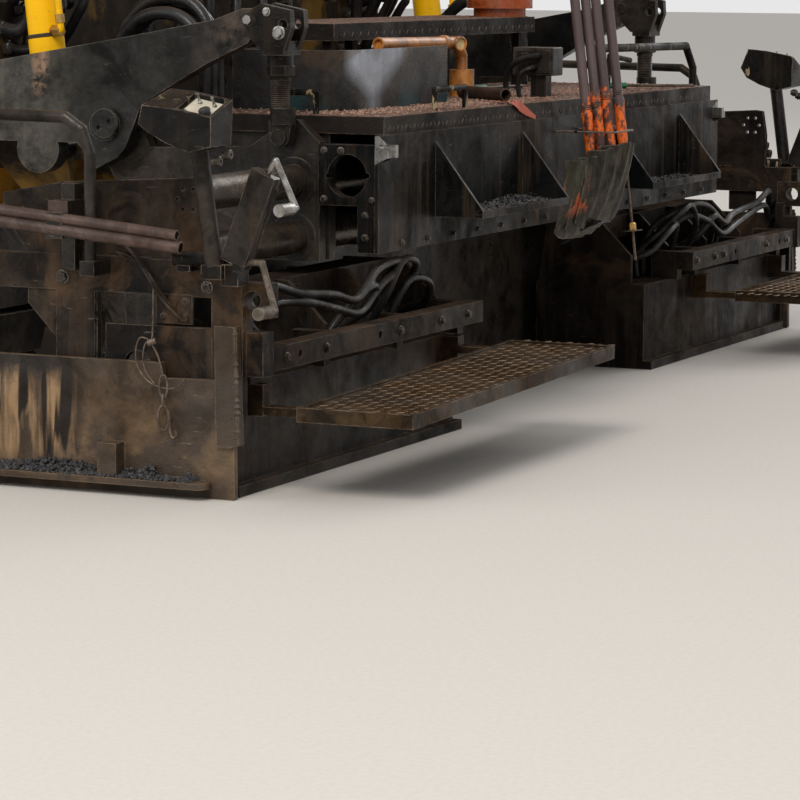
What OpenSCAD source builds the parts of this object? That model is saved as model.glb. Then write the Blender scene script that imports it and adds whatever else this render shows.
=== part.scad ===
// Asphalt paver: a tracked tractor with its hopper, and a floating screed with two
// sliding extensions behind it. X points forward, Y to the machine's left, Z up,
// and the ground is z = 0. Lengths are millimetres.

/* [Running gear] */
// Distance between the two wheels that carry a track
track_base = 2560; // [2300:20:2700]
// Height of a track
track_h = 700; // [640:10:740]
// Width of the track shoes
track_w = 320; // [240:10:340]
// Spacing of the track shoes
shoe_pitch = 150; // [130:2:165]

/* [Hopper and conveyors] */
// Reach of an open hopper wing from the centre line
wing_y = 1620; // [1500:10:1700]
// Height of the hopper wings
wing_z = 1350; // [1200:10:1500]
// Spacing of the conveyor slats
slat_pitch = 240; // [180:10:320]
// Diameter of the augers
auger_d = 420; // [340:10:440]
// Length of one turn of an auger flight
auger_pitch = 340; // [280:10:420]

/* [Tractor body] */
// Height of the operator's floor
floor_z = 1620; // [1560:10:1700]
// Height of the engine cover
engine_z = 1960; // [1800:10:2100]
// Height of the canopy roof
roof_z = 3520; // [3300:10:3700]
// Diameter of the lift cylinders
lift_d = 104; // [90:2:108]

/* [Screed] */
// Height of the walkway deck
deck_z = 984; // [960:4:1010]
// Thickness of the tow arms
arm_t = 60; // [40:5:70]
// Height of the deck's folded edge
deck_edge = 52; // [40:2:70]
// Depth of the material trays behind the hood
tray_depth = 156; // [100:4:180]
// Thickness of the sole plates
sole_t = 30; // [20:2:36]
// Height of the bottle shelf above the deck
shelf_h = 254; // [200:2:300]

/* [Extensions] */
// Inner face of the end gates from the centre line
gate_y = 2394; // [2380:2:2420]
// Height of the end gates
gate_z = 360; // [320:5:420]
// Diameter of the guide tubes
guide_d = 98; // [80:2:110]
// Height of the rear steps
step_z = 252; // [220:4:300]
// Height of the side handrails
rail_z = 1022; // [960:4:1100]

/* [View] */
// Sub-part to show

/* [Hidden] */
$fn = 48;

// Running clearance of a pin in its bore, gap of a sliding seat, and the free gap
// that moving bodies keep from one another
fit = 0.05;
seat = 0.3;
free = 8;

// Colours
yellow = [0.93, 0.68, 0.05];
steel = [0.17, 0.16, 0.15];
worn = [0.42, 0.38, 0.34];
rust = [0.42, 0.27, 0.16];
orange = [0.78, 0.32, 0.14];
rubber = [0.07, 0.07, 0.07];
wood = [0.36, 0.27, 0.27];
chrome = [0.75, 0.76, 0.78];

// Tractor
track_r = track_h / 2;
track_rear = -1130;
track_front = track_rear + track_base;
track_y = 1270;
link_t = 40;
pad_t = 22;
frame_rear = -1480;
nose = 2900;
tunnel_y = 600;
plate_t = 40;
tunnel_z0 = 380;
tunnel_z1 = 930;
body_y = track_y + 130;
fender_z = 790;
engine_x0 = -100;
engine_x1 = 1370;
engine_y = 1080;
lid_x = 1100;
wall = 20;
seat_x = -900;
seat_y = 880;
conveyor_z = 600;
belt_y0 = 72;
belt_y1 = 552;
belt_front = 2790;
belt_rear = -1420;
wing_hinge_y = 690;
wing_hinge_z = 700;
wing_x0 = 1440;
wing_x1 = 2880;
wing_pin_r = 16;
push_x = 2985;
push_z = 480;
push_r = 95;
roller_x = 3205;
push_bar_x = roller_x - push_r - free;
auger_x = -1700;
auger_z = 420;
auger_shaft_r = 40;
auger_in = 92;
hanger_y = track_y + 60;
auger_out = hanger_y - 12;

// Linkage of the screed: tow point, lift cylinder's lower eye and upper pin
tow_x = 1100;
tow_z = 560;
tow_pin_r = 42;
eye_x = -1714;
eye_z = 868;
lift_x = -1604;
lift_z = 1750;
lift_y = body_y + 35;
lift_pin_r = 24;
lift_len = norm([lift_x - eye_x, lift_z - eye_z]);
lift_tilt = atan2(lift_x - eye_x, lift_z - eye_z);
barrel_len = 606;
rod_len = 570;
lift_rod_r = 27;

// Screed
arm_y = body_y + 100;
pivot_x = -1946;
pivot_z = 945;
frame_y = arm_y - 60;
skirt_y = frame_y - 14;
screed_x0 = -2300;
screed_x1 = -1970;
deck_x0 = -2800;
deck_x1 = -2018;
hood_x = -2810;
hood_y = arm_y;
hood_z = 591;
sheet = 12;
bracket_y0 = arm_y - 52;
bracket_y1 = arm_y - 10;
clevis_x = -2515;
clevis_z = 923;
head_x = -2436;
head_z = 1262;
head_r = 18;

// Extensions
guide_r = guide_d / 2;
guide_x_left = -2534;
guide_x_right = -2400;
guide_z = [630, 792];
guide_in = 300;
ext_in = 850;
ext_out = gate_y - 30;
beam_out = gate_y - 6;
ext_x0 = -2800;
ext_x1 = -2350;
rail_y = gate_y + 66;
step_left_in = 850;
step_right_in = 1290;
step_lean = 1.26;
beam_left_in = 832;
beam_right_in = 1113;
step_out = 2345;
step_rear = -3300;
step_front = -2960;

// Shared shapes

// Block between two corners
module box(x0, x1, y0, y1, z0, z1)
  translate([min(x0, x1), min(y0, y1), min(z0, z1)])
    cube([abs(x1 - x0), abs(y1 - y0), abs(z1 - z0)]);

// Plate with an outline of [x, z] points between two Y faces
module xz_plate(points, y0, y1)
  translate([0, y1, 0]) rotate([90, 0, 0]) linear_extrude(height = y1 - y0) polygon(points);

// Plate with an outline of [y, z] points between two X faces
module yz_plate(points, x0, x1)
  translate([x0, 0, 0]) rotate([90, 0, 90]) linear_extrude(height = x1 - x0) polygon(points);

module x_rod(y, z, x0, x1, r)
  translate([x0, y, z]) rotate([0, 90, 0]) cylinder(h = x1 - x0, r = r);

module y_rod(x, z, y0, y1, r)
  translate([x, y0, z]) rotate([-90, 0, 0]) cylinder(h = y1 - y0, r = r);

module z_rod(x, y, z0, z1, r)
  translate([x, y, z0]) cylinder(h = z1 - z0, r = r);

// Round bar between two points
module bar(a, b, r) {
  v = b - a;
  l = norm(v);
  translate(a) rotate([0, acos(v[2] / l), atan2(v[1], v[0])]) cylinder(h = l, r = r);
}

// Round bar bent through a list of points
module bent_bar(points, r) {
  for (i = [0:len(points) - 2]) bar(points[i], points[i + 1], r);
  for (i = [1:len(points) - 2]) translate(points[i]) sphere(r = r + 0.3);
}

module both_sides() {
  children();
  mirror([0, 1, 0]) children();
}

// Smooth curve through chosen points
function spline(a, b, c, d, t) =
  0.5 * (2 * b + (c - a) * t + (2 * a - 5 * b + 4 * c - d) * t * t
    + (3 * b - a - 3 * c + d) * t * t * t);

function smooth(p, steps) = [
  for (i = [0:len(p) - 2], k = [0:steps - 1])
    spline(p[max(i - 1, 0)], p[i], p[i + 1], p[min(i + 2, len(p) - 1)], k / steps),
  p[len(p) - 1]
];

// Hose through chosen points, kept whole as one solid
module hose(points, r, sides = 8, steps = 5) {
  p = smooth(points, steps);
  n = len(p);
  rings = [
    for (i = [0:n - 1])
      let (
        m = len(points),
        v = i == 0 ? points[1] - points[0]
          : i == n - 1 ? points[m - 1] - points[m - 2]
          : p[i + 1] - p[i - 1],
        t = v / norm(v),
        side = cross(t, [0.83, 0.31, 0.47]),
        u = side / norm(side),
        w = cross(t, u)
      )
      for (k = [0:sides - 1]) p[i] + r * (cos(k * 360 / sides) * u + sin(k * 360 / sides) * w)
  ];
  walls = [
    for (i = [0:n - 2], k = [0:sides - 1])
      let (
        a = i * sides + k,
        b = i * sides + (k + 1) % sides,
        c = a + sides,
        d = b + sides
      )
      each [[a, c, b], [b, c, d]]
  ];
  first = [for (k = [0:sides - 1]) k];
  last = [for (k = [sides - 1:-1:0]) (n - 1) * sides + k];
  polyhedron(points = rings, faces = concat(walls, [first, last]), convexity = 6);
}

// Tracks

// Long round-ended block that a track runs around
module track_core(r, y0, y1) {
  y_rod(track_rear, track_r, y0, y1, r);
  y_rod(track_front, track_r, y0, y1, r);
  box(track_rear, track_front, y0, y1, track_r - r, track_r + r);
}

// Place of shoe i, with run shoes along a straight and turn shoes round a wheel: [x, z, turn]
function track_at(i, run, turn, r) =
  i < run ? [track_rear + i * track_base / run, track_r - r, 0]
  : i < run + turn
  ? let (a = (i - run) / turn * 180)
    [track_front + r * sin(a), track_r - r * cos(a), -a]
  : i < 2 * run + turn
  ? [track_front - (i - run - turn) * track_base / run, track_r + r, 180]
  : let (a = (i - 2 * run - turn) / turn * 180)
    [track_rear - r * sin(a), track_r + r * cos(a), 180 - a];

module track_loop() {
  y0 = track_y - track_w / 2;
  y1 = track_y + track_w / 2;
  r_mid = track_r - pad_t / 2;
  // a shoe stands at each end of the straight runs, so none dips below the ground
  run = round(track_base / shoe_pitch);
  turn = round(PI * r_mid / shoe_pitch);
  step = min(track_base / run, PI * r_mid / turn);
  difference() {
    track_core(track_r - pad_t + 1, y0 + 50, y1 - 50);
    track_core(track_r - pad_t - link_t, y0, y1);
  }
  for (i = [0:2 * (run + turn) - 1]) {
    at = track_at(i, run, turn, r_mid);
    translate([at[0], track_y, at[1]]) rotate([0, at[2], 0])
      cube([step - 14, track_w, pad_t], center = true);
  }
}

module track_left() color(rubber) track_loop();

module track_right() color(rubber) mirror([0, 1, 0]) track_loop();

// Beams, drive wheels, idlers and rollers inside both tracks
module track_frames() color(steel) both_sides() {
  y0 = track_y - 80;
  y1 = track_y + 80;
  inner = track_r - pad_t - link_t - seat;
  box(track_rear + 60, track_front - 60, y0, y1, track_r - 110, track_r + 90);
  for (x = [track_rear, track_front]) {
    difference() {
      y_rod(x, track_r, track_y - 60, track_y + 60, inner);
      for (a = [0:60:300])
        translate([x + 190 * cos(a), track_y, track_r + 190 * sin(a)])
          rotate([90, 0, 0]) cylinder(h = 140, r = 42, center = true);
    }
    y_rod(x, track_r, track_y - 100, track_y + 100, 70);
  }
  for (i = [0:6]) {
    x = track_rear + 420 + i * (track_base - 840) / 6;
    y_rod(x, track_r - inner + 70, track_y - 60, track_y + 60, 70);
    box(x - 25, x + 25, track_y - 75, track_y - 60, track_r - inner + 40, track_r - 100);
    box(x - 25, x + 25, track_y + 60, track_y + 75, track_r - inner + 40, track_r - 100);
    y_rod(x, track_r - inner + 70, track_y - 75, track_y + 75, 22);
  }
  for (i = [1, 3]) {
    x = track_rear + i * track_base / 4;
    y_rod(x, track_r + inner - 50, track_y - 50, track_y + 50, 50);
    box(x - 20, x + 20, track_y - 65, track_y - 50, track_r + 80, track_r + inner - 30);
    box(x - 20, x + 20, track_y + 50, track_y + 65, track_r + 80, track_r + inner - 30);
    y_rod(x, track_r + inner - 50, track_y - 65, track_y + 65, 18);
  }
}

// Tractor

module chassis_frame() color(yellow) {
  // rear face between the two tanks, tunnel roof and nose
  box(frame_rear + 30, frame_rear + 50, -641, 641, tunnel_z1 - 1, floor_z - 40);
  box(frame_rear, engine_x1, -tunnel_y - plate_t, tunnel_y + plate_t, tunnel_z1 - 40, tunnel_z1);
  box(nose - 40, nose, -tunnel_y - plate_t, tunnel_y + plate_t, tunnel_z0, 560);
  both_sides() {
    // tunnel side, tall under the engine and low beside the hopper
    box(frame_rear, 1420, tunnel_y, tunnel_y + plate_t, tunnel_z0, tunnel_z1 - 20);
    box(1400, nose, tunnel_y, tunnel_y + plate_t, tunnel_z0, 670);
    // beams to the track frames
    for (x = [track_rear + 600, track_front - 600])
      box(x - 90, x + 90, tunnel_y + plate_t - 1, track_y - 80, track_r - 70, track_r + 60);
    // tanks under the operator's floor and deck beside the engine
    box(frame_rear + 30, -120, tunnel_y + plate_t - 1, body_y, fender_z, floor_z - 40);
    box(-121, engine_x1, tunnel_y + plate_t - 1, body_y, fender_z, tunnel_z1);
    tow_bracket();
    auger_hanger();
    // lugs and pin that the hopper wing turns on
    x_rod(wing_hinge_y, wing_hinge_z, wing_x0 + 10, wing_x1 - 10, wing_pin_r);
    for (x = [wing_x0 + 10, (wing_x0 + wing_x1) / 2 - 30, wing_x1 - 70])
      xhinge_lug(x, x + 60);
  }
  // block that the push bar swings on
  difference() {
    box(nose - 1, push_x + 50, -130, 130, push_z - 60, push_z + 60);
    box(push_x - 55, push_x + 51, -131, 131, push_z - 32, push_z + 32);
  }
  z_rod(push_x, 0, push_z - 62, push_z + 62, 30);
}

module xhinge_lug(x0, x1)
  yz_plate([
    [tunnel_y + plate_t - 1, 560], [tunnel_y + plate_t + 20, 560],
    [wing_hinge_y + 22, wing_hinge_z - 22], [wing_hinge_y + 22, wing_hinge_z + 22],
    [wing_hinge_y - 22, wing_hinge_z + 22], [tunnel_y + plate_t - 1, 670]
  ], x0, x1);

// Plate outside the track that carries the tow point
module tow_bracket() {
  box(tow_x - 100, tow_x + 100, body_y - 1, arm_y - 15, fender_z + 10, tunnel_z1 - 10);
  xz_plate([
    [tow_x - 100, fender_z + 11], [tow_x - 80, tow_z - 60], [tow_x - 30, tow_z - 110],
    [tow_x + 30, tow_z - 110], [tow_x + 80, tow_z - 60], [tow_x + 100, fender_z + 11]
  ], arm_y - 60, arm_y - 15);
  y_rod(tow_x, tow_z, arm_y - 60, arm_y + arm_t + 14, tow_pin_r);
  y_rod(tow_x, tow_z, arm_y + arm_t + seat, arm_y + arm_t + 14, tow_pin_r + 22);
}

// Cheeks behind the tanks that carry the lift cylinders' upper pins
module lift_brackets() color(yellow) both_sides() {
  xz_plate([
    [frame_rear + 30, 1300], [frame_rear + 30, floor_z - 48], [frame_rear - 8, floor_z - 44],
    [frame_rear - 8, floor_z + 20], [lift_x + 60, lift_z + 60],
    [lift_x - 50, lift_z + 60], [lift_x - 60, lift_z - 50], [frame_rear - 20, 1300]
  ], body_y - 60, body_y - 28);
  y_rod(lift_x, lift_z, body_y - 40, lift_y + 62, lift_pin_r);
  y_rod(lift_x, lift_z, lift_y + 50, lift_y + 62, lift_pin_r + 14);
}

// Plate that holds the auger's outer bearing
module auger_hanger() difference() {
  union() {
    xz_plate([
      [frame_rear + 60, 1100], [frame_rear + 60, 860], [frame_rear - 90, 700],
      [auger_x + 66, auger_z - 60], [auger_x - 66, auger_z - 60], [auger_x - 66, auger_z + 90],
      [frame_rear - 170, 1100]
    ], hanger_y, hanger_y + 36);
    y_rod(auger_x, auger_z, hanger_y - 4, hanger_y + 40, 74);
  }
  y_rod(auger_x, auger_z, hanger_y - 5, hanger_y + 41, auger_shaft_r + fit);
}

module hopper_floor() color(worn) {
  box(belt_rear + 60, belt_front - 60, -tunnel_y, tunnel_y, conveyor_z - 10, conveyor_z + 5);
  yz_plate([
    [-belt_y0 + 10, conveyor_z + 4], [belt_y0 - 10, conveyor_z + 4],
    [belt_y0 - 10, conveyor_z + 80], [0, conveyor_z + 120], [-belt_y0 + 10, conveyor_z + 80]
  ], belt_rear + 60, belt_front - 60);
  // fixed rear wall above the tunnel mouth
  box(engine_x1, 1412, -engine_y + 40, engine_y - 40, tunnel_z1 - 20, wing_z + 40);
  // low apron at the front
  box(nose - 40, nose - 26, -tunnel_y, tunnel_y, 560, 720);
}

// Slats on two chains each side, upper and lower run
module conveyors() color(worn) both_sides() {
  z_top = conveyor_z + 5;
  z_low = conveyor_z - 10;
  for (y = [belt_y0 + 14, belt_y1 - 34]) {
    box(belt_rear, belt_front, y, y + 20, z_top + seat, z_top + 30);
    box(belt_rear, belt_front, y, y + 20, z_low - 30, z_low - seat);
  }
  n = floor((belt_front - belt_rear - 160) / slat_pitch);
  for (i = [0:n]) {
    x = belt_rear + 80 + i * slat_pitch;
    box(x - 18, x + 18, belt_y0, belt_y1, z_top + 8, z_top + 34);
    box(x + 82, x + 118, belt_y0, belt_y1, z_low - 34, z_low - 8);
  }
  for (x = [belt_rear, belt_front]) {
    y_rod(x, conveyor_z - 2, belt_y0 - 10, tunnel_y, 24);
    for (y = [belt_y0 + 14, belt_y1 - 34]) y_rod(x, conveyor_z - 2, y - 4, y + 24, 46);
  }
}

module engine_block() color(steel)
  box(150, 1050, -380, 380, tunnel_z1, engine_z - 260);

module engine_housing() color(yellow) {
  difference() {
    box(engine_x0, engine_x1, -engine_y, engine_y, tunnel_z1, engine_z);
    box(engine_x0 + wall, engine_x1 - wall, -engine_y + wall, engine_y - wall,
      tunnel_z1 - 1, engine_z - wall);
    box(engine_x0 + wall, lid_x - 20, -engine_y + wall, engine_y - wall,
      engine_z - wall - 1, engine_z + 1);
    // louvres in the sides
    for (i = [0:8])
      box(200, 900, -engine_y - 1, engine_y + 1, 1150 + i * 62, 1150 + i * 62 + 26);
  }
  // hinge lugs and pin of the engine lid
  both_sides() for (y = [300, 900]) {
    box(lid_x + 8, lid_x + 44, y - 70, y - 40, engine_z - 1, engine_z + 40);
    box(lid_x + 8, lid_x + 44, y + 40, y + 70, engine_z - 1, engine_z + 40);
    y_rod(lid_x + 26, engine_z + 22, y - 70, y + 70, 10);
  }
  // exhaust
  z_rod(1240, -760, engine_z - 1, engine_z + 620, 56);
  z_rod(1240, -760, engine_z - 1, engine_z + 240, 100);
}

module engine_lid() color(yellow) {
  difference() {
    box(engine_x0 + 4, lid_x - 6, -engine_y + 6, engine_y - 6, engine_z + seat, engine_z + 44);
    box(engine_x0 + 20, lid_x - 22, -engine_y + 22, engine_y - 22, engine_z - 1, engine_z + 30);
  }
  both_sides() for (y = [300, 900]) difference() {
    hull() {
      y_rod(lid_x + 26, engine_z + 22, y - 36, y + 36, 18);
      box(lid_x - 20, lid_x - 10, y - 36, y + 36, engine_z + 6, engine_z + 44);
    }
    y_rod(lid_x + 26, engine_z + 22, y - 37, y + 37, 10 + fit);
  }
}

module platform() color(steel) {
  box(frame_rear, engine_x0 - 1, -body_y, body_y, floor_z - 40, floor_z);
  // ladder up from the screed
  for (y = [-810, -430]) {
    z_rod(-1556, y, deck_z + 300, floor_z + 10, 23);
    box(-1556, frame_rear + 1, y - 14, y + 14, floor_z - 34, floor_z - 6);
    box(-1556, frame_rear + 30, y - 14, y + 14, 1330, 1358);
  }
  for (i = [0:2]) y_rod(-1556, 1320 + i * 110, -810, -430, 15);
  // guard rails and seat pedestals
  both_sides() {
    bent_bar([
      [frame_rear + 60, 330, floor_z - 1], [frame_rear + 60, 330, floor_z + 900],
      [frame_rear + 60, body_y - 40, floor_z + 900], [frame_rear + 60, body_y - 40, floor_z - 1]
    ], 20);
    y_rod(frame_rear + 60, floor_z + 450, 330, body_y - 40, 16);
    bent_bar([
      [-1150, body_y - 40, floor_z - 1], [-1150, body_y - 40, floor_z + 700],
      [-420, body_y - 40, floor_z + 700], [-420, body_y - 40, floor_z - 1]
    ], 20);
    z_rod(seat_x, seat_y, floor_z - 1, floor_z + 300, 60);
    z_rod(seat_x, seat_y, floor_z - 1, floor_z + 20, 150);
  }
}

module console() color(steel) {
  box(-420, engine_x0 - 10, -700, 700, floor_z, floor_z + 620);
  xz_plate([
    [-520, floor_z + 600], [engine_x0 - 10, floor_z + 600], [engine_x0 - 10, floor_z + 860],
    [-500, floor_z + 680]
  ], -900, 900);
  // steering wheel on its column
  translate([-560, 560, floor_z + 760]) rotate([0, -35, 0]) {
    rotate_extrude() translate([170, 0]) circle(r = 14, $fn = 20);
    for (a = [0, 120, 240]) rotate([0, 0, a]) translate([0, -12, -6]) cube([166, 24, 12]);
    cylinder(h = 40, r = 40, center = true);
    translate([0, 0, -170]) cylinder(h = 170, r = 26);
  }
}

// Places of the canopy posts: [x, y]
POSTS = [[-1330, body_y - 110], [engine_x0 - 100, engine_y - 70]];

module canopy() color(yellow) {
  for (p = POSTS, s = [-1, 1]) {
    z_rod(p[0], s * p[1], floor_z, roof_z + 1, 40);
    z_rod(p[0], s * p[1], floor_z, floor_z + 16, 70);
  }
  difference() {
    yz_plate([
      [-1480, roof_z], [-1440, roof_z + 60], [-1100, roof_z + 110], [1100, roof_z + 110],
      [1440, roof_z + 60], [1480, roof_z]
    ], -1780, 260);
    yz_plate([
      [-1440, roof_z - 1], [-1100, roof_z + 84], [1100, roof_z + 84], [1440, roof_z - 1]
    ], -1756, 236);
  }
  for (p = POSTS) box(p[0] - 40, p[0] + 40, -1445, 1445, roof_z, roof_z + 30);
  // work lamps at the four corners
  for (y = [-1200, 1200]) {
    x_rod(y, roof_z - 70, -1778, -1700, 68);
    box(-1740, -1720, y - 12, y + 12, roof_z - 20, roof_z + 72);
    x_rod(y, roof_z - 70, 180, 258, 68);
    box(200, 220, y - 12, y + 12, roof_z - 20, roof_z + 72);
  }
}

module seat() {
  z0 = floor_z + 300 + seat;
  y = seat_y;
  z_rod(seat_x, y, z0, z0 + 60, 90);
  box(-1150, -660, y - 240, y + 240, z0 + 60, z0 + 90);
  hull() for (x = [-1110, -700], dy = [-200, 200]) z_rod(x, y + dy, z0 + 90, z0 + 190, 40);
  translate([-1120, y, z0 + 150]) rotate([0, -10, 0])
    hull() for (dy = [-190, 190], z = [40, 560])
      translate([0, dy, z]) rotate([0, 90, 0]) cylinder(h = 90, r = 50, center = true);
  for (dy = [-248, 212]) {
    box(-1120, -1080, y + dy, y + dy + 36, z0 + 80, z0 + 330);
    box(-1120, -780, y + dy, y + dy + 36, z0 + 300, z0 + 350);
  }
}

module seat_left() color(rubber) seat();

module seat_right() color(rubber) mirror([0, 1, 0]) seat();

// Augers

module auger_drive() color(steel) {
  // housing of the chain drive between the augers
  box(auger_x - 80, auger_x + 80, -70, 70, auger_z - 80, tunnel_z1 - 90);
  box(auger_x + 60, frame_rear + 20, -50, 50, tunnel_z1 - 200, tunnel_z1 - 40);
  y_rod(auger_x, auger_z, -84, 84, 110);
}

module auger() {
  y_rod(auger_x, auger_z, 84 + seat, hanger_y + 38, auger_shaft_r);
  y_rod(auger_x, auger_z, 84 + seat, 84 + 40, auger_shaft_r + 18);
  r = auger_d / 2;
  turns = (auger_out - auger_in) / auger_pitch;
  half = 7 / auger_pitch * 360;
  translate([auger_x, auger_in, auger_z]) rotate([-90, 0, 0])
    linear_extrude(height = auger_out - auger_in, twist = -360 * turns,
      slices = ceil(22 * turns), segments = 9)
      polygon([
        for (a = [-half, half]) r * [cos(a), sin(a)],
        for (a = [half, -half]) (auger_shaft_r - 1.5) * [cos(a), sin(a)]
      ]);
}

module auger_left() color(worn) auger();

module auger_right() color(worn) mirror([0, 1, 0]) auger();

// Hopper wings and push bar

module hopper_wing() {
  t = 18;
  y0 = wing_hinge_y + 40;
  y1 = wing_y - 40;
  z0 = wing_hinge_z - 4;
  z1 = z0 + 130;
  // sloping bottom, leaning side
  yz_plate([
    [y0, z0], [y1, z1], [wing_y, wing_z], [wing_y - t, wing_z], [y1 - t, z1 + t], [y0, z0 + t]
  ], wing_x0, wing_x1);
  // rear end wall and front flap
  yz_plate([
    [y0 + 10, z0 + 8], [y1 - 6, z1 + 6], [wing_y - 6, wing_z - 4], [y0 + 120, wing_z - 4]
  ], wing_x0, wing_x0 + t);
  yz_plate([
    [y0 + 10, z0 + 8], [y1 - 6, z1 + 6], [wing_y - 20, wing_z - 130], [y1 - 220, wing_z - 330],
    [y0 + 10, z0 + 90]
  ], wing_x1 - t, wing_x1);
  // ribs under the bottom and along the top edge
  for (i = [0:4]) {
    x = wing_x0 + 120 + i * 310;
    yz_plate([
      [y0 + 120, z0 + 20], [y1 + 2, z1 + 2], [wing_y - 4, wing_z - 60], [wing_y + 26, wing_z - 60],
      [y1 + 20, z1 - 50], [y0 + 120, z0 - 30]
    ], x, x + 16);
  }
  box(wing_x0, wing_x1, wing_y - 20, wing_y + 26, wing_z - 40, wing_z);
  // knuckles
  for (x = [wing_x0 + 120, (wing_x0 + wing_x1) / 2 + 80, wing_x1 - 240]) difference() {
    hull() {
      x_rod(wing_hinge_y, wing_hinge_z, x, x + 120, 30);
      box(x, x + 120, y0 + 20, y0 + 40, z0 + 4, z0 + t);
    }
    x_rod(wing_hinge_y, wing_hinge_z, x - 1, x + 121, wing_pin_r + fit);
  }
}

module hopper_wing_left() color(yellow) hopper_wing();

module hopper_wing_right() color(yellow) mirror([0, 1, 0]) hopper_wing();

module push_bar() color(steel) difference() {
  union() {
    box(push_bar_x - 34, push_bar_x, -1080, 1080, push_z - 75, push_z + 75);
    hull() {
      z_rod(push_x, 0, push_z - 32 + seat, push_z + 32 - seat, 48);
      box(push_bar_x - 34, push_bar_x - 30, -60, 60, push_z - 32 + seat, push_z + 32 - seat);
    }
    // ears that hold the rollers
    for (y = [-1072, -140, 108, 1040])
      hull() {
        box(push_bar_x - 4, push_bar_x, y, y + 32, push_z - 70, push_z + 70);
        y_rod(roller_x, push_z, y, y + 32, 44);
      }
  }
  z_rod(push_x, 0, push_z - 80, push_z + 80, 30 + fit);
  y_rod(roller_x, push_z, -1090, 1090, 22 + fit);
}

module push_roller() {
  y_rod(roller_x, push_z, 149, 1031, push_r);
  y_rod(roller_x, push_z, 112, 1068, 22);
}

module push_roller_left() color(worn) push_roller();

module push_roller_right() color(worn) mirror([0, 1, 0]) push_roller();

// Lift cylinders, drawn upright at their lower eye and then leant

module at_eye(side)
  translate([eye_x, side * lift_y, eye_z]) rotate([0, lift_tilt, 0]) children();

module lift_barrel(side) color(yellow) at_eye(side) difference() {
  union() {
    translate([0, 0, lift_len - barrel_len]) cylinder(h = barrel_len - 40, d = lift_d);
    translate([0, 0, lift_len - barrel_len]) cylinder(h = 50, d = lift_d + 6);
    translate([0, 40, lift_len]) rotate([90, 0, 0]) cylinder(h = 80, r = 46);
  }
  translate([0, 41, lift_len]) rotate([90, 0, 0]) cylinder(h = 82, r = lift_pin_r + fit);
  translate([0, 0, lift_len - barrel_len - 1]) cylinder(h = barrel_len - 80, r = lift_rod_r + fit);
}

module lift_barrel_left() lift_barrel(1);

module lift_barrel_right() lift_barrel(-1);

module lift_rod(side) color(chrome) at_eye(side) difference() {
  union() {
    translate([0, 0, 20]) cylinder(h = rod_len - 20, r = lift_rod_r);
    translate([0, 34, 0]) rotate([90, 0, 0]) cylinder(h = 68, r = 44);
  }
  translate([0, 35, 0]) rotate([90, 0, 0]) cylinder(h = 70, r = lift_pin_r + 2.5);
}

module lift_rod_left() lift_rod(1);

module lift_rod_right() lift_rod(-1);

// Screed

// Outline of a tow arm from its front end along the top and back below
ARM = [
  [tow_x + 20, tow_z + 96], [-1586, 1132], [-1998, 1203], [-2307, 1260], [-2400, 1294],
  [-2452, 1294], [-2462, 1270], [-2419, 1194], [-2284, 1132], [-2089, 1022], [-2061, 996],
  [-2043, 950], [-2014, 883], [-1985, 850], [-1914, 815], [-1850, 890], [-1583, 890],
  [tow_x - 10, tow_z - 110]
];

module tow_arms() color(steel) both_sides() {
  difference() {
    union() {
      xz_plate(ARM, arm_y, arm_y + arm_t);
      y_rod(tow_x, tow_z, arm_y, arm_y + arm_t, 110);
      y_rod(eye_x, eye_z, arm_y, arm_y + arm_t, 72);
    }
    y_rod(tow_x, tow_z, arm_y - 1, arm_y + arm_t + 1, tow_pin_r + fit);
    y_rod(head_x, head_z, arm_y - 1, arm_y + arm_t + 1, head_r + seat);
  }
  // pin that the lift rod pulls on, and the pivot to the screed
  y_rod(eye_x, eye_z, lift_y - 44, arm_y + 1, lift_pin_r);
  y_rod(eye_x, eye_z, lift_y - 48, lift_y - 40, lift_pin_r + 12);
  y_rod(pivot_x, pivot_z, arm_y + arm_t - 1, arm_y + arm_t + 14, 48);
}

module screed_frame() color(steel) {
  // body over the sole and the box above it
  box(screed_x0, screed_x1, -frame_y, frame_y, sole_t, 540);
  box(screed_x0 + 10, deck_x1 - 30, -skirt_y, skirt_y, 539, deck_z - sheet);
  // deflector plate in front
  xz_plate([
    [screed_x1 - 1, 480], [screed_x1 + 30, 480], [screed_x1 + 14, 120], [screed_x1 - 1, 90]
  ], -frame_y, frame_y);
  guide_side(guide_x_left);
  mirror([0, 1, 0]) guide_side(guide_x_right);
}

// Bracket plate that hangs from the arm's pivot, and the guides' plates and bushings
module guide_side(guide_x) difference() {
  union() {
    xz_plate([
      [-1880, 1000], [-2003, 1000], [-2057, 879], [-2390, 891], [-2465, 940], [-2478, 975],
      [-2546, 971], [-2617, 909], [-2617, 560], [-2290, 560], [-1989, 700], [-1880, 880]
    ], bracket_y0, bracket_y1);
    y_rod(pivot_x, pivot_z, bracket_y1 - 1, arm_y, 46);
    box(screed_x0, screed_x1 + 20, frame_y - 1, bracket_y0 + 1, 560, 860);
    for (y = [880, skirt_y - 40]) box(screed_x0 - 320, screed_x0 + 12, y, y + 40, 562, deck_z - sheet);
    for (z = guide_z) {
      y_rod(guide_x, z, 860, 940, guide_r + 22);
      y_rod(guide_x, z, bracket_y1 - 110, bracket_y1 + 4, guide_r + 22);
    }
  }
  for (z = guide_z) y_rod(guide_x, z, 850, bracket_y1 + 20, guide_r + fit);
}

module screed_sole() color(worn)
  box(screed_x0, screed_x1, -bracket_y1, bracket_y1, 0, sole_t);

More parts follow.
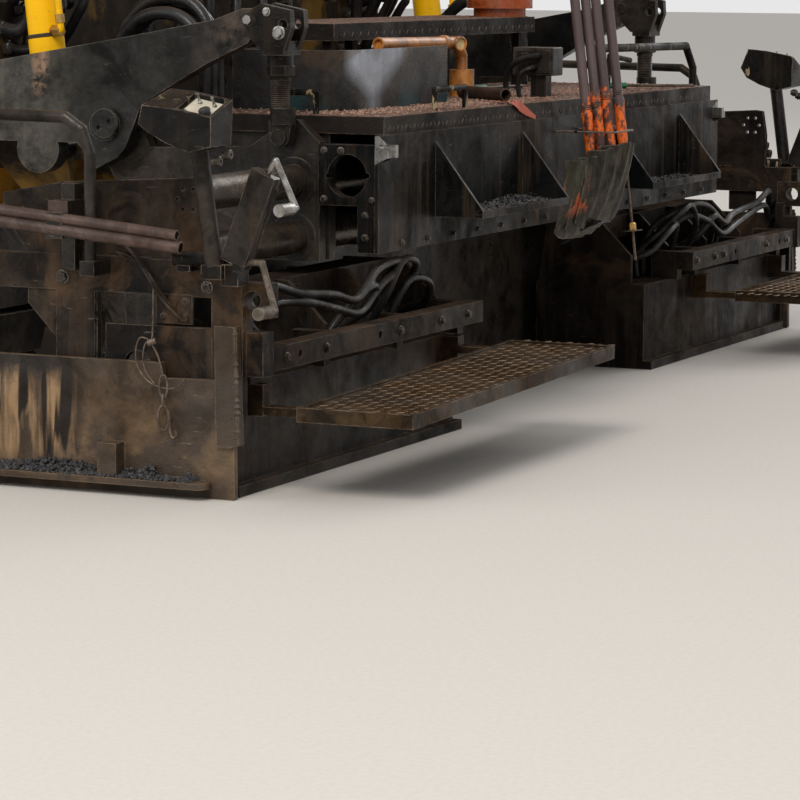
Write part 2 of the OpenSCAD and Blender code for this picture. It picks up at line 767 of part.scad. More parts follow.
module screed_deck() color(rust) {
  // tray of folded sheet
  difference() {
    box(deck_x0, deck_x1, -frame_y, frame_y, deck_z - deck_edge, deck_z);
    box(deck_x0 + sheet, deck_x1 + 1, -frame_y + sheet, frame_y - sheet,
      deck_z - deck_edge - 1, deck_z - sheet);
  }
  // grab hoops and the low rail on the right
  hoop_y = frame_y - 45;
  for (h = [[-2762, 988, -2762, 756], [-2560, hoop_y, -2450, hoop_y]])
    bent_bar([
      [h[0], h[1], deck_z - 2], [h[0], h[1], deck_z + 64], [h[2], h[3], deck_z + 64],
      [h[2], h[3], deck_z - 2]
    ], 9);
  bent_bar([
    [-2738, -440, deck_z - 2], [-2738, -440, 1140], [-2738, 100 - frame_y, 1130],
    [-2738, 20 - frame_y, 1050], [-2738, 20 - frame_y, deck_z - 2]
  ], 14);
  bent_bar([
    [-2700, -640, deck_z - 2], [-2700, -660, 1110], [-2700, -860, 1090], [-2700, -920, deck_z - 2]
  ], 9);
}

// Folded tray for shovelled mix: bottom, lip and two cheeks
module tray() {
  y0 = 390;
  y1 = 1090;
  z0 = 672;
  box(hood_x - tray_depth, hood_x + 1, y0, y1, z0, z0 + 8);
  box(hood_x - tray_depth, hood_x - tray_depth + 8, y0, y1, z0, z0 + 22);
  for (y = [y0, y1 - 10])
    xz_plate([
      [hood_x + 1, z0], [hood_x - tray_depth, z0], [hood_x - tray_depth, z0 + 22], [hood_x + 1, 898]
    ], y, y + 10);
}

module rear_hood() color(steel) {
  plate_y = hood_y - 40;
  box(hood_x, hood_x + sheet, -hood_y + 1, hood_y - 1, hood_z, deck_z - deck_edge);
  box(hood_x, hood_x + 70, 45 - hood_y, hood_y - 45, hood_z, hood_z + sheet);
  both_sides() {
    tray();
    // end plate with its round hole and lower leg
    difference() {
      union() {
        xz_plate([
          [-2617 - seat, 905], [-2798, 905], [-2838, 890], [-2838, 868], [-2798, 848],
          [-2798, hood_z], [-2744, hood_z], [-2744, 727], [-2617 - seat, 727]
        ], plate_y, hood_y);
      }
      y_rod(-2710, 814, plate_y - 10, hood_y + 10, 62);
      y_rod(-2650, 812, plate_y - 10, hood_y + 10, 8);
      y_rod(-2774, 816, plate_y - 10, hood_y + 10, 8);
    }
    // ribs from the deck edge down
    for (y = [40, 380, 1100, plate_y - 80])
      box(hood_x + 11, hood_x + 60, y, y + 10, hood_z + 11, deck_z - deck_edge);
    // shiny latch
    box(-2846, -2800, plate_y - 20, plate_y + 1, 868, 905);
  }
}

// Screw between a tow arm's rear end and the bracket below it
module rigging_screws() color(steel) both_sides() {
  y = arm_y + arm_t / 2;
  x_top = -2510;
  difference() {
    union() {
      // slotted head that straddles the arm
      for (y0 = [arm_y - 26, arm_y + arm_t + 2]) xz_plate([
        [-2420, 1262], [-2440, 1290], [-2473, 1310], [-2569, 1290], [-2572, 1240],
        [-2548, 1174], [-2473, 1174], [-2430, 1215]
      ], y0, y0 + 24);
      z_rod(x_top, y, 1130, 1178, 38);
      box(-2548, -2480, arm_y - 26, arm_y + arm_t + 26, 1160, 1200);
    }
    y_rod(-2545, 1250, y - 60, y + 60, 14);
  }
  y_rod(head_x, head_z, arm_y - 34, arm_y + arm_t + 34, head_r);
  z_rod(x_top, y, 1085, 1135, 30);
  z_rod(x_top, y, 1000, 1090, 26);
  // clevis and its pin on the bracket plate
  z_rod(x_top - 8, y, 960, 1008, 37);
  hull() {
    box(x_top - 40, x_top + 30, y - 20, y + 16, 950, 970);
    y_rod(clevis_x, clevis_z, y - 20, y + 16, 30);
  }
  y_rod(clevis_x, clevis_z, bracket_y1, y + 30, 24);
}

module heat_shield() color(steel) {
  t = 6;
  x = -2556;
  y = frame_y - 250;
  r = 110;
  z1 = deck_z + 182;
  box(x, x + t, 420, y - r, deck_z, z1);
  difference() {
    z_rod(x + r, y - r, deck_z, z1, r);
    z_rod(x + r, y - r, deck_z - 1, z1 + 1, r - t);
    box(x + r, x + 2 * r + 1, y - 2 * r - 1, y + 1, deck_z - 1, z1 + 1);
    box(x - 1, x + r + 1, y - 2 * r - 1, y - r, deck_z - 1, z1 + 1);
  }
  box(x + r, -2180, y - t, y, deck_z, z1);
  box(-2186, -2180, y - 290, y, deck_z, z1);
}

module bottle_shelf() color(rust) {
  z1 = deck_z + shelf_h;
  difference() {
    box(-2350, -1960, -830, 830, z1 - 54, z1);
    box(-2338, -1972, -818, 818, z1 - 55, z1 - sheet);
  }
  for (x = [-2320, -2040], y = [-790, 0, 760]) box(x, x + 30, y, y + 30, deck_z, z1 - sheet);
}

module gas_bottle() color(orange) {
  z1 = deck_z + shelf_h;
  x = -2255;
  y = -735;
  z_rod(x, y, z1, z1 + 40, 92);
  z_rod(x, y, z1 + 30, z1 + 360, 116);
  translate([x, y, z1 + 360]) scale([1, 1, 0.5]) sphere(r = 116);
  z_rod(x, y, z1 + 400, z1 + 470, 22);
  difference() {
    z_rod(x, y, z1 + 390, z1 + 500, 80);
    z_rod(x, y, z1 + 389, z1 + 501, 74);
    box(x - 90, x + 90, y - 20, y + 90, z1 + 430, z1 + 502);
  }
  // burner lance that lies across the deck below the shelf
  bent_bar([[-2400, 590, 1172], [-2400, -20, 1165], [-2400, -60, 1120], [-2400, -60, deck_z]], 19);
  z_rod(-2400, -60, deck_z, deck_z + 90, 42);
  z_rod(-2400, 590, deck_z, 1172, 12);
}

// Places of the shovels, where the handle meets the blade: [x, y, z]
SHOVELS = [[-2916, 65, 796], [-2940, 35, 806], [-2964, 13, 828], [-2988, -33, 843]];

// Square-mouthed shovel that hangs blade down, its hollow side forward
module shovel() {
  r = 300;
  rotate([0, 7.2, 0]) {
    translate([0, 0, -30]) cylinder(h = 170, r1 = 22, r2 = 17);
    cylinder(h = 900, r = 16);
    translate([0, 0, 900]) sphere(r = 20);
  }
  rotate([0, -20, 0]) intersection() {
    translate([r - 2, 0, -285]) difference() {
      cylinder(h = 290, r = r, $fn = 160);
      translate([0, 0, -1]) cylinder(h = 292, r = r - 4, $fn = 160);
    }
    translate([60, 0, 0]) rotate([90, 0, 90]) linear_extrude(height = 140, center = true)
      polygon([[-116, -284], [116, -284], [122, -12], [100, 3], [-100, 3], [-122, -12]]);
  }
}

// Shovels in a hoop and on a foot plate behind the hood, and the depth rod beside them
module shovels() color(wood) {
  bent_bar([
    [hood_x - seat, 120, 886], [-3014, 120, 886], [-3014, -85, 886], [hood_x - seat, -85, 886]
  ], 7);
  y_rod(-2881, 886, -85, 120, 7);
  xz_plate([
    [-2796, hood_z - seat], [-2796, 502], [-2930, 588], [-2924, 598], [-2806, 520],
    [-2806, hood_z - seat]
  ], -110, 120);
  for (s = SHOVELS) translate(s) shovel();
  bar([-2920, -350, 434], [-2806, -350, 1420], 6);
  bar([-2909, -350, 531], [-2908.4, -350, 536], 34);
  bar([-2908, -350, 536], [-2905, -350, 562], 11);
  box(-2866, deck_x0 - seat, -357, -343, 955, 967);
}

// Loops of hose that stand on the deck beside the tow arms: [y, rise]
LOOPS = [[1215, 0], [1262, 26], [1309, -20], [-1150, 0], [-1210, 24]];

module deck_hoses() color(rubber) for (l = LOOPS)
  hose([
    [-2150, l[0], deck_z + seat], [-2150, l[0], deck_z + 70], [-2140, l[0], 1190 + l[1]],
    [-2070, l[0], 1280 + l[1]], [-1950, l[0], 1285 + l[1]], [-1850, l[0], 1200 + l[1]],
    [-1820, l[0], 1080], [-1860, l[0], 975], [-1960, l[0], 940], [deck_x1 - 30 + seat, l[0], 940]
  ], 22);

// Extensions, drawn for the left side

module ext_frame(guide_x, beam_in) difference() {
  union() {
    box(ext_x0, ext_x1, ext_in, ext_out, 0, sole_t);
    box(ext_x0 + 30, ext_x1 - 10, ext_in, ext_out, sole_t - 1, 300);
    // square beam behind, on lugs
    box(-2860, -2800, beam_in, 2304, 335, 400);
    for (y = [max(ext_in, beam_in), 1300, 1800, 2260]) box(-2801, -2700, y, y + 40, 299, 400);
    // ribs over the body
    for (y = [ext_in, 1250, 1650, 2050]) xz_plate([
      [-2720, 299], [-2720, 400], [-2600, 520], [-2400, 520], [-2370, 299]
    ], y, y + 16);
    box(-2560, -2440, ext_in, 2066, 440, 520);
    // end plate that takes the guide tubes
    xz_plate([
      [-2085, 800], [-2085, 740], [-2160, 640], [-2160, 500], [-2350, 300], [-2350, 20],
      [-2790, 20], [-2790, 538], [-2715, 640], [-2715, 760], [-2700, 853], [-2671, 857],
      [-2273, 834]
    ], ext_out - 4, beam_out - 6);
    // beam along the gate and the posts below it
    box(-2543, -1560, ext_out - 4, beam_out, 541, 639);
    box(-2819, -2540, ext_out - 4, beam_out, 538, 635);
    for (x = [[-2372, -2251], [-2821, -2728], [-1700, -1580]])
      box(x[0], x[1], ext_out - 4, beam_out, 200, 545);
    // blocks at the beam's outer end
    box(-2872, -2780, 2305, ext_out + 4, 329, 448);
    box(-2893, -2780, 2320, ext_out + 4, 488, 582);
    box(-2810, -2780, 2305, ext_out + 4, 440, 500);
  }
  // openings of the end plate below the beam
  box(-2728, -2377, ext_out - 5, beam_out, 455, 538);
  box(-2402, -2377, ext_out - 5, beam_out, 330, 456);
  y_rod(-2500, 343, ext_out - 5, beam_out, 42);
  y_rod(-2840, 535, 2300, 2400, 24);
  for (y = [1589, 2114]) x_rod(y, 367, -2870, -2790, 12);
  // bolt circle around the upper tube
  for (a = [0:60:300])
    y_rod(-2655 + 32 * cos(a), 798 + 32 * sin(a), ext_out - 10, beam_out + 10, 6);
}

module ext_frame_left() color(steel) ext_frame(guide_x_left, beam_left_in);

module ext_frame_right() color(steel) mirror([0, 1, 0]) ext_frame(guide_x_right, beam_right_in);

module guide_tubes(guide_x) for (z = guide_z)
  difference() {
    y_rod(guide_x, z, guide_in, ext_out - 4, guide_r);
    y_rod(guide_x, z, guide_in - 1, ext_out - 60, guide_r - 14);
  }

module guide_tubes_left() color(worn) guide_tubes(guide_x_left);

module guide_tubes_right() color(worn) mirror([0, 1, 0]) guide_tubes(guide_x_right);

module ext_step(y_in, lean) {
  // tread with a raised rim on two bearers
  translate([0, step_out, step_z]) rotate([-lean, 0, 0]) translate([0, -step_out, -step_z]) {
    difference() {
      box(step_rear, step_front, y_in, step_out, step_z - 40, step_z);
      box(step_rear + 12, step_front - 12, y_in + 12, step_out - 12, step_z - 8, step_z + 1);
      box(step_rear + 12, step_front - 12, y_in + 12, step_out - 12, step_z - 41, step_z - 16);
    }
    for (y = [y_in + 60, 2240]) box(step_rear + 10, -2795, y, y + 44, step_z - 38, step_z - 14);
  }
  for (y = [y_in + 60, 2240]) box(-2830, ext_x0 + 30, y, y + 44, step_z - 40, 299);
}

module ext_step_left() color(rust) ext_step(step_left_in, step_lean);

module ext_step_right() color(rust) mirror([0, 1, 0]) ext_step(step_right_in, 0);

// Handrail, spare bars on brackets and the clamped post
module ext_rail() {
  bent_bar([
    [-1600, rail_y, 600], [-1600, rail_y, rail_z - 60], [-1660, rail_y, rail_z],
    [-2325, rail_y, rail_z - 9], [-2376, rail_y, rail_z - 42], [-2400, rail_y, rail_z - 108],
    [-2400, rail_y, 600]
  ], 16);
  for (x = [-1600, -2400]) box(x - 22, x + 22, beam_out, rail_y + 20, 590, 630);
  box(-2335, -2295, beam_out, rail_y - 30, 600, 833);
  box(-2345, -2285, beam_out + 4, rail_y + 26, 700, 790);
  for (dz = [0, 30]) bar([-1640, rail_y + 36, 776 + dz], [-2678, rail_y + 36, 680 + dz], 11);
  box(-1690, -1650, beam_out, rail_y + 48, 600, 640);
  box(-1690, -1650, rail_y + 22, rail_y + 48, 600, 810);
  box(-2340, -2290, rail_y + 22, rail_y + 48, 690, 760);
}

module ext_rail_left() color(steel) ext_rail();

module ext_rail_right() color(steel) mirror([0, 1, 0]) ext_rail();

// Sloping control box on its post, with the height spindle and the two cranks
module control_box() {
  y0 = gate_y + 16;
  difference() {
    // the top leans outward to the paver's crew
    hull() {
      xz_plate([
        [-2584, 1005], [-2596, 1054], [-2689, 1046], [-2800, 1026], [-2800, 949], [-2736, 933],
        [-2668, 955], [-2614, 982]
      ], y0 + 118, y0 + 120);
      xz_plate([
        [-2590, 1020], [-2620, 1094], [-2694, 1088], [-2803, 1068], [-2800, 949], [-2736, 933],
        [-2668, 955], [-2614, 982]
      ], y0, y0 + 2);
    }
    // sunk place of the switch panel
    hull() {
      xz_plate([[-2793, 1017], [-2697, 1034], [-2697, 1130], [-2793, 1130]], y0 + 112, y0 + 113);
      xz_plate([[-2793, 1053], [-2697, 1070], [-2697, 1130], [-2793, 1130]], y0 + 9, y0 + 10);
    }
  }
  bar([-2722, y0 + 40, 960], [-2768, y0 + 40, 630], 24);
  box(-2800, -2740, beam_out, y0 + 62, 596, 634);
  // height spindle in its square tube
  hull() {
    translate([-2912, y0 + 20, 876]) rotate([0, -24, 0]) cube([74, 44, 6], center = true);
    translate([-2822, y0 + 20, 640]) rotate([0, -24, 0]) cube([74, 44, 6], center = true);
  }
  box(-2840, -2790, beam_out, y0 + 42, 578, 636);
  bent_bar([
    [-2912, y0 + 20, 870], [-2940, y0 + 20, 912], [-2999, y0 + 20, 790], [-2999, y0 + 60, 790]
  ], 9);
  y_rod(-2999, 790, y0 + 50, y0 + 120, 17);
  // lower crank
  bent_bar([
    [-2660, y0 + 20, 646], [-2900, y0 + 20, 642], [-2938, y0 + 20, 517], [-2938, y0 + 60, 517]
  ], 9);
  x_rod(y0 + 20, 645, -2760, -2640, 20);
  box(-2690, -2650, beam_out, y0 + 30, 610, 660);
  y_rod(-2938, 517, y0 + 50, y0 + 120, 17);
}

module control_box_left() color(steel) control_box();

module control_box_right() color(steel) mirror([0, 1, 0]) control_box();

// Hydraulic hoses below the hood, from the gate's side to the body: routes by hand
HOSES = [
  [[-2755, ext_out - 4 - seat, 500], [-2755, 2290, 500], [-2790, 2180, 555], [-2800, 2000, 520],
   [-2790, 1757, 495], [-2800, 1622, 470], [-2790, 1465, 540], [-2780, 1290, 556],
   [-2700, 1180, 500], [-2650, 1160, 420], [-2650, 1160, 360], [-2650, 1160, 300 + seat]],
  [[-2755, ext_out - 4 - seat, 440], [-2755, 2290, 440], [-2785, 2150, 500], [-2800, 1950, 490],
   [-2800, 1757, 455], [-2800, 1600, 430], [-2790, 1450, 490], [-2770, 1290, 515],
   [-2700, 1210, 440], [-2690, 1205, 360], [-2690, 1205, 300 + seat]],
  [[-2650, 1100, 300 + seat], [-2650, 1100, 390], [-2730, 1118, 470], [-2790, 1180, 540],
   [-2790, 1280, 555], [-2780, 1362, 470], [-2730, 1375, 370], [-2730, 1375, 300 + seat]],
  [[-2650, 1420, 300 + seat], [-2650, 1420, 360], [-2760, 1435, 430], [-2800, 1500, 500],
   [-2790, 1600, 470], [-2740, 1690, 370], [-2740, 1690, 300 + seat]],
  [[-2600, 960, 300 + seat], [-2600, 960, 360], [-2730, 985, 400], [-2780, 1060, 470],
   [-2770, 1180, 490], [-2735, 1228, 400], [-2735, 1228, 360], [-2735, 1228, 300 + seat]]
];

module ext_hoses() for (route = HOSES) hose(route, 13);

module ext_hoses_left() color(rubber) ext_hoses();

module ext_hoses_right() color(rubber) mirror([0, 1, 0]) ext_hoses();

module end_gate() {
  y1 = gate_y + 20;
  xz_plate([
    [-2810, 4], [-2804, 0], [-1560, 0], [-1490, 60], [-1490, gate_z - 60], [-1560, gate_z],
    [-2589, gate_z], [-2595, gate_z - 42], [-2752, gate_z - 38], [-2806, gate_z - 38]
  ], gate_y, y1);
  // flat ski along the foot, round behind and turned up in front
  z_rod(-2715, y1 + 32, 30, 48, 33);
  box(-2715, -1600, y1 - 1, y1 + 65, 30, 48);
  hull() {
    box(-1601, -1590, y1 - 1, y1 + 65, 30, 48);
    box(-1500, -1490, y1 - 1, y1 + 65, 90, 108);
  }
  // lug, guide bars at the posts and the slanted post
  box(-2477, -2419, y1 - 1, y1 + 50, 47, 139);
  for (x = [-1680, -2352, -2800])
    box(x, x + 80, beam_out + seat, gate_y + 1, 210, gate_z - 44);
  xz_plate([
    [-2829, 150], [-2795, 141], [-2761, 144], [-2755, 468], [-2815, 468]
  ], gate_y - 0, y1 + 12);
}

module end_gate_left() color(rust) end_gate();

module end_gate_right() color(rust) mirror([0, 1, 0]) end_gate();

chassis_frame();
track_left();
track_right();
track_frames();
hopper_floor();
conveyors();
engine_block();
engine_housing();
engine_lid();
platform();
console();
canopy();
seat_left();
seat_right();
auger_drive();
auger_left();
auger_right();
hopper_wing_left();
hopper_wing_right();
push_bar();
push_roller_left();
push_roller_right();
lift_brackets();
lift_barrel_left();
lift_barrel_right();
lift_rod_left();
lift_rod_right();
tow_arms();
screed_frame();
screed_sole();
screed_deck();
rear_hood();
rigging_screws();
heat_shield();
bottle_shelf();
gas_bottle();
shovels();
deck_hoses();
ext_frame_left();
ext_frame_right();
guide_tubes_left();
guide_tubes_right();
ext_step_left();
ext_step_right();
ext_rail_left();
ext_rail_right();
control_box_left();
control_box_right();
ext_hoses_left();
ext_hoses_right();
end_gate_left();
end_gate_right();
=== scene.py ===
import math
import random

import bmesh
import bpy
from mathutils import Matrix, Vector


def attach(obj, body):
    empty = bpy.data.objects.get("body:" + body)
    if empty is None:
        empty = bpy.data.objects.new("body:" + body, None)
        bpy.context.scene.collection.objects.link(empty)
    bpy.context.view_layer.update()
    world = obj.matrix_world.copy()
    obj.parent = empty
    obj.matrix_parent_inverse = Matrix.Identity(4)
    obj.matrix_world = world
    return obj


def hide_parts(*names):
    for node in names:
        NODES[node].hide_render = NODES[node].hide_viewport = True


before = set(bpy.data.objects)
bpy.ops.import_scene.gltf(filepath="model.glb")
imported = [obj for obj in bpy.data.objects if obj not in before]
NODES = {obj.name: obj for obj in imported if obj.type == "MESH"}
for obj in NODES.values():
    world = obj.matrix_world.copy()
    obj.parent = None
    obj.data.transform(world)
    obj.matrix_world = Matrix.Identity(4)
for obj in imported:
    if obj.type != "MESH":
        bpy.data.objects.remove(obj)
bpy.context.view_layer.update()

SIDES = (("left", 1), ("right", -1))
X, Y, Z = Vector((1, 0, 0)), Vector((0, 1, 0)), Vector((0, 0, 1))

# The camera of the photograph. Its focal length is in pixels of a square frame.
FRAME_PIXELS = 800
FOCAL = 3400.0
SENSOR = 36
CAMERA = Vector((-6.89263, 10.42301, 1.44))
YAW, PITCH, ROLL = (math.radians(a) for a in (24.2, 7.4, -0.33))

# Faces and axes of the frame's nodes that the added pieces sit on, in metres
DECK_TOP = 0.984
DECK_REAR = -2.8
TRAY_FLOOR = 0.681
SCREW = Vector((-2.51, 1.53, 0))
ARM_OUT = 1.574
GATE_OUT = 2.415
EXT_OUT = 2.388
RAIL_Y = 2.496
# SHIELD_MIDDLE: middle in y of the painted reflection on the heat shield
SHIELD_MIDDLE = 0.985
HOUSING_OUT = 1.079
EXHAUST_AT = (1.24, -0.76)


def make_camera():
    forward = Vector((
        math.sin(YAW) * math.cos(PITCH), -math.cos(YAW) * math.cos(PITCH), -math.sin(PITCH)))
    right = forward.cross(Z).normalized()
    down = forward.cross(right)
    c, s = math.cos(ROLL), math.sin(ROLL)
    right, down = c * right + s * down, c * down - s * right
    cam = bpy.data.objects.new("camera", bpy.data.cameras.new("camera"))
    cam.data.sensor_width = SENSOR
    cam.data.lens = FOCAL / FRAME_PIXELS * SENSOR
    cam.data.clip_end = 400
    turn = Matrix((right, -down, -forward)).transposed()
    cam.matrix_world = Matrix.Translation(CAMERA) @ turn.to_4x4()
    bpy.context.scene.collection.objects.link(cam)
    bpy.context.scene.camera = cam


# Materials

MAT = {}


class Look:
    """A material under construction: a colour laid on in coats, and short names for nodes.
    A mask is a socket or a number from 0 to 1, a tone a socket or a red, green and blue."""

    def __init__(self, name, color=None):
        self.mat = bpy.data.materials.new(name)
        self.mat.use_nodes = True
        self.mat.node_tree.nodes.clear()
        self.shader = self.node("BsdfPrincipled")
        self.node("OutputMaterial", {0: self.shader.outputs[0]})
        self.coords = self.node("TexCoord").outputs["Object"]
        self.normal = self.node("NewGeometry").outputs["Normal"]
        self.color = color

    def node(self, kind, inputs=None, **settings):
        """A new node with its settings, and its inputs by name or number."""
        node = self.mat.node_tree.nodes.new("ShaderNode" + kind)
        for name, value in settings.items():
            setattr(node, name, value)
        self.put(node, inputs or {})
        return node

    def put(self, node, inputs):
        for key, value in inputs.items():
            socket = node.inputs[key]
            if isinstance(value, bpy.types.NodeSocket):
                self.mat.node_tree.links.new(value, socket)
            elif value is not None:
                socket.default_value = (*value, 1) if socket.type == "RGBA" else value

    def noise(self, scale, detail=5, rough=0.55, stretch=None, warp=0.0):
        at = self.coords
        if stretch:
            at = self.node("Mapping", {0: at, "Scale": stretch}).outputs[0]
        return self.node("TexNoise", {"Vector": at, "Scale": scale, "Detail": detail,
                                      "Roughness": rough, "Distortion": warp}).outputs["Fac"]

    def cells(self, scale, feature="F1"):
        node = self.node("TexVoronoi", {"Vector": self.coords, "Scale": scale}, feature=feature)
        return node.outputs["Distance"]

    def span(self, value, low, high, to=(0.0, 1.0)):
        """A value's stretch from low to high, brought to the range given and held in it."""
        return self.node("MapRange", {"Value": value, "From Min": low, "From Max": high,
                                      "To Min": to[0], "To Max": to[1]}).outputs["Result"]

    def blots(self, low, high, *noise, to=(0.0, 1.0), **more):
        """Noise as patches: nothing below its value low, full above high."""
        return self.span(self.noise(*noise, **more), low, high, to)

    def place(self, axis):
        return self.node("SeparateXYZ", {0: self.coords}).outputs[axis]

    def past(self, axis, low, high, to=(0.0, 1.0)):
        """A soft edge at a place along an axis, full on the side of high."""
        return self.span(self.place(axis), low, high, to)

    def math(self, kind, a, b=None, clamp=False):
        return self.node("Math", {0: a, 1: b}, operation=kind, use_clamp=clamp).outputs[0]

    def sum(self, a, b):
        return self.math("ADD", a, b, clamp=True)

    def meet(self, mask, *others):
        """The product of masks."""
        for other in others:
            mask = self.math("MULTIPLY", mask, other)
        return mask

    def mix(self, share, a, b):
        return self.node("Mix", {0: share, 6: a, 7: b}, data_type="RGBA").outputs[2]

    def lay(self, tone, *masks):
        """Puts a tone over the colour so far, by the product of the masks."""
        self.color = self.mix(self.meet(*masks), self.color, tone)

    def facing_up(self, low=0.45, high=0.9):
        return self.span(self.node("SeparateXYZ", {0: self.normal}).outputs["Z"], low, high)

    def edges(self, radius):
        """1 along the outer edges of a solid, 0 on its faces."""
        bevel = self.node("Bevel", {"Radius": radius}, samples=4)
        dot = self.node("VectorMath", {0: bevel.outputs[0], 1: self.normal},
                        operation="DOT_PRODUCT")
        return self.span(dot.outputs["Value"], 0.99, 0.88)

    def bump(self, height, strength, distance, under=None):
        return self.node("Bump", {"Height": height, "Strength": strength, "Distance": distance,
                                  "Normal": under}).outputs[0]

    def finish(self, rough, metallic=0.0, bump=None, gloss=None, coat=0.0, coat_rough=0.3):
        self.put(self.shader, {
            "Base Color": self.color, "Roughness": rough, "Metallic": metallic, "Normal": bump,
            "Specular IOR Level": gloss, "Coat Weight": coat, "Coat Roughness": coat_rough})
        MAT[self.mat.name] = self.mat


def shade(tone, share):
    return tuple(c * share for c in tone)


def grimy(name, base, alt, dust, edge, metallic=0.0, rough=(0.38, 0.68), up=0.6, wear=0.6,
          streak=None, streaks=0.5, patch=2.2, pits=0.5, coat=0.0, tones=None, damp=1.0):
    """Used steel or paint: two tones in patches, soot and dried splashes, dust on what faces
    up, worn edges, scuffs, and streaks that run down the upright faces."""
    k = Look(name, base)
    k.lay(alt, k.blots(0.42, 0.60, patch, 7, 0.64, warp=0.8))
    k.lay(shade(base, 0.38), k.blots(0.47, 0.62, patch * 2.9, 6, 0.68, warp=1.2, to=(0, 0.8)))
    k.lay(shade(base, 0.4), k.blots(0.36, 0.74, 38, 6, 0.72, to=(0, 0.6)))
    if tones:
        tones(k)
    if streak:
        k.lay(streak, k.blots(0.50, 0.68, 9, 5, 0.62, (2.4, 2.4, 0.13)),
              k.blots(0.38, 0.58, 2.7, 3, 0.5), streaks)
    k.lay(shade(edge, 0.8), k.blots(0.63, 0.70, 30, 4, 0.7, (0.5, 0.5, 2.4)),
          k.blots(0.48, 0.60, 3.3, 4), 0.45)
    lies = k.meet(k.facing_up(), k.blots(0.34, 0.60, 5.5, 8, 0.70))
    k.lay(dust, lies, up)
    specks = k.span(k.cells(90), 0.16, 0.10)
    k.lay((0.010, 0.009, 0.009), specks, k.blots(0.5, 0.62, 4.2, 4, to=(0, 0.7)))
    k.lay(edge, k.edges(0.0045), k.blots(0.40, 0.60, 19, 5, 0.72), wear)
    wet = k.blots(0.42, 0.62, 3.1, 6, 0.62, warp=0.7)
    r = k.sum(k.blots(0.3, 0.72, 13, 6, 0.65, to=rough), k.meet(wet, -0.12))
    r = k.sum(r, k.meet(lies, 0.25 * up))
    gloss = k.sum(k.span(wet, 0, 1, (0.10 * damp, 0.42 * damp)), k.meet(lies, -0.2 * damp))
    grit = k.span(k.cells(160), 0.0, 0.6)
    n = k.math("ADD", k.noise(55, 7, 0.74), k.meet(grit, 0.35))
    n = k.bump(k.math("ADD", n, k.meet(specks, 0.8)), pits, 0.0018)
    n = k.bump(k.noise(3.4, 3, 0.5), 0.25, 0.012, n)
    k.finish(r, metallic, n, gloss, coat)


def paint(name, bright, faded, filth, low, high, runs=0.35, painted_shade=1.0):
    """Gloss paint, chipped at its edges, under filth that thickens from one x to another; over the
    same stretch a last share below 1 darkens it as painted shade.
    """
    k = Look(name, bright)
    rear = k.past("X", low, high)
    k.lay(faded, k.blots(0.4, 0.62, 1.4, 6, 0.6))
    # Painted shade: from the given x rearwards the colour is darkened towards dark brown, by one less
    # the last share, and not at all when that share is 1.
    k.lay(k.mix(1 - painted_shade, k.color, (0.030, 0.020, 0.008)), rear)
    k.lay((0.20, 0.11, 0.03), k.blots(0.52, 0.74, 7, 5, 0.62, (2.4, 2.4, 0.14)), runs)
    k.lay((0.10, 0.06, 0.03), k.blots(0.61, 0.66, 46, 6, 0.75), 0.55)
    k.lay((0.26, 0.19, 0.11), k.facing_up(), k.blots(0.38, 0.62, 5, 8, 0.68), 0.4)
    k.lay((0.10, 0.06, 0.038), k.edges(0.006), k.blots(0.47, 0.56, 24, 5, 0.7), 0.8)
    thick = k.sum(k.blots(0.38, 0.62, 3.1, 8, 0.66, warp=0.5, to=(-0.35, 0.9)),
                  k.span(rear, 0, 1, (-0.9, 0.75)))
    k.lay(k.mix(k.blots(0.4, 0.62, 15, 6, 0.7), filth, shade(filth, 2.4)), thick)
    r = k.sum(k.blots(0.3, 0.72, 11, 6, 0.65, to=(0.24, 0.44)), k.meet(thick, 0.25))
    n = k.bump(k.math("ADD", k.noise(50, 7, 0.7), k.meet(thick, 1.5)), 0.16, 0.0015)
    k.finish(r, 0.0, n, k.span(thick, 0, 1, (0.22, 0.10)))


def plain(name, base, alt, rough, metallic=0.0, scale=30, bumpy=0.15, dirt=0.35, coat=0.0,
          gloss=None):
    """Small fittings: one colour that varies, with some dirt in its hollows."""
    k = Look(name, base)
    k.lay(alt, k.blots(0.38, 0.66, scale, 6, 0.65))
    k.lay((0.030, 0.023, 0.017), k.blots(0.52, 0.7, scale * 0.45, 6, 0.72, to=(0, dirt)))
    r = k.blots(0.3, 0.7, scale * 0.7, 5, 0.6, to=rough)
    k.finish(r, metallic, k.bump(k.noise(scale * 4, 5, 0.7), bumpy, 0.0008), gloss, coat)


def arm_tones(k):
    """Grey scale on the front of the arms, a pale patch near their bend, a dusty rear end."""
    k.lay((0.118, 0.106, 0.086), k.past("X", -1.90, -1.72), k.blots(0.36, 0.60, 11, 7, 0.7), 0.8)
    k.lay((0.30, 0.19, 0.12), k.past("X", -1.76, -1.74), k.past("X", -1.69, -1.71),
          k.blots(0.45, 0.56, 18, 6, 0.7), k.past("Z", 1.02, 1.06))
    k.lay((0.115, 0.085, 0.068), k.past("X", -2.22, -2.34), k.blots(0.38, 0.60, 14, 7, 0.7), 0.8)


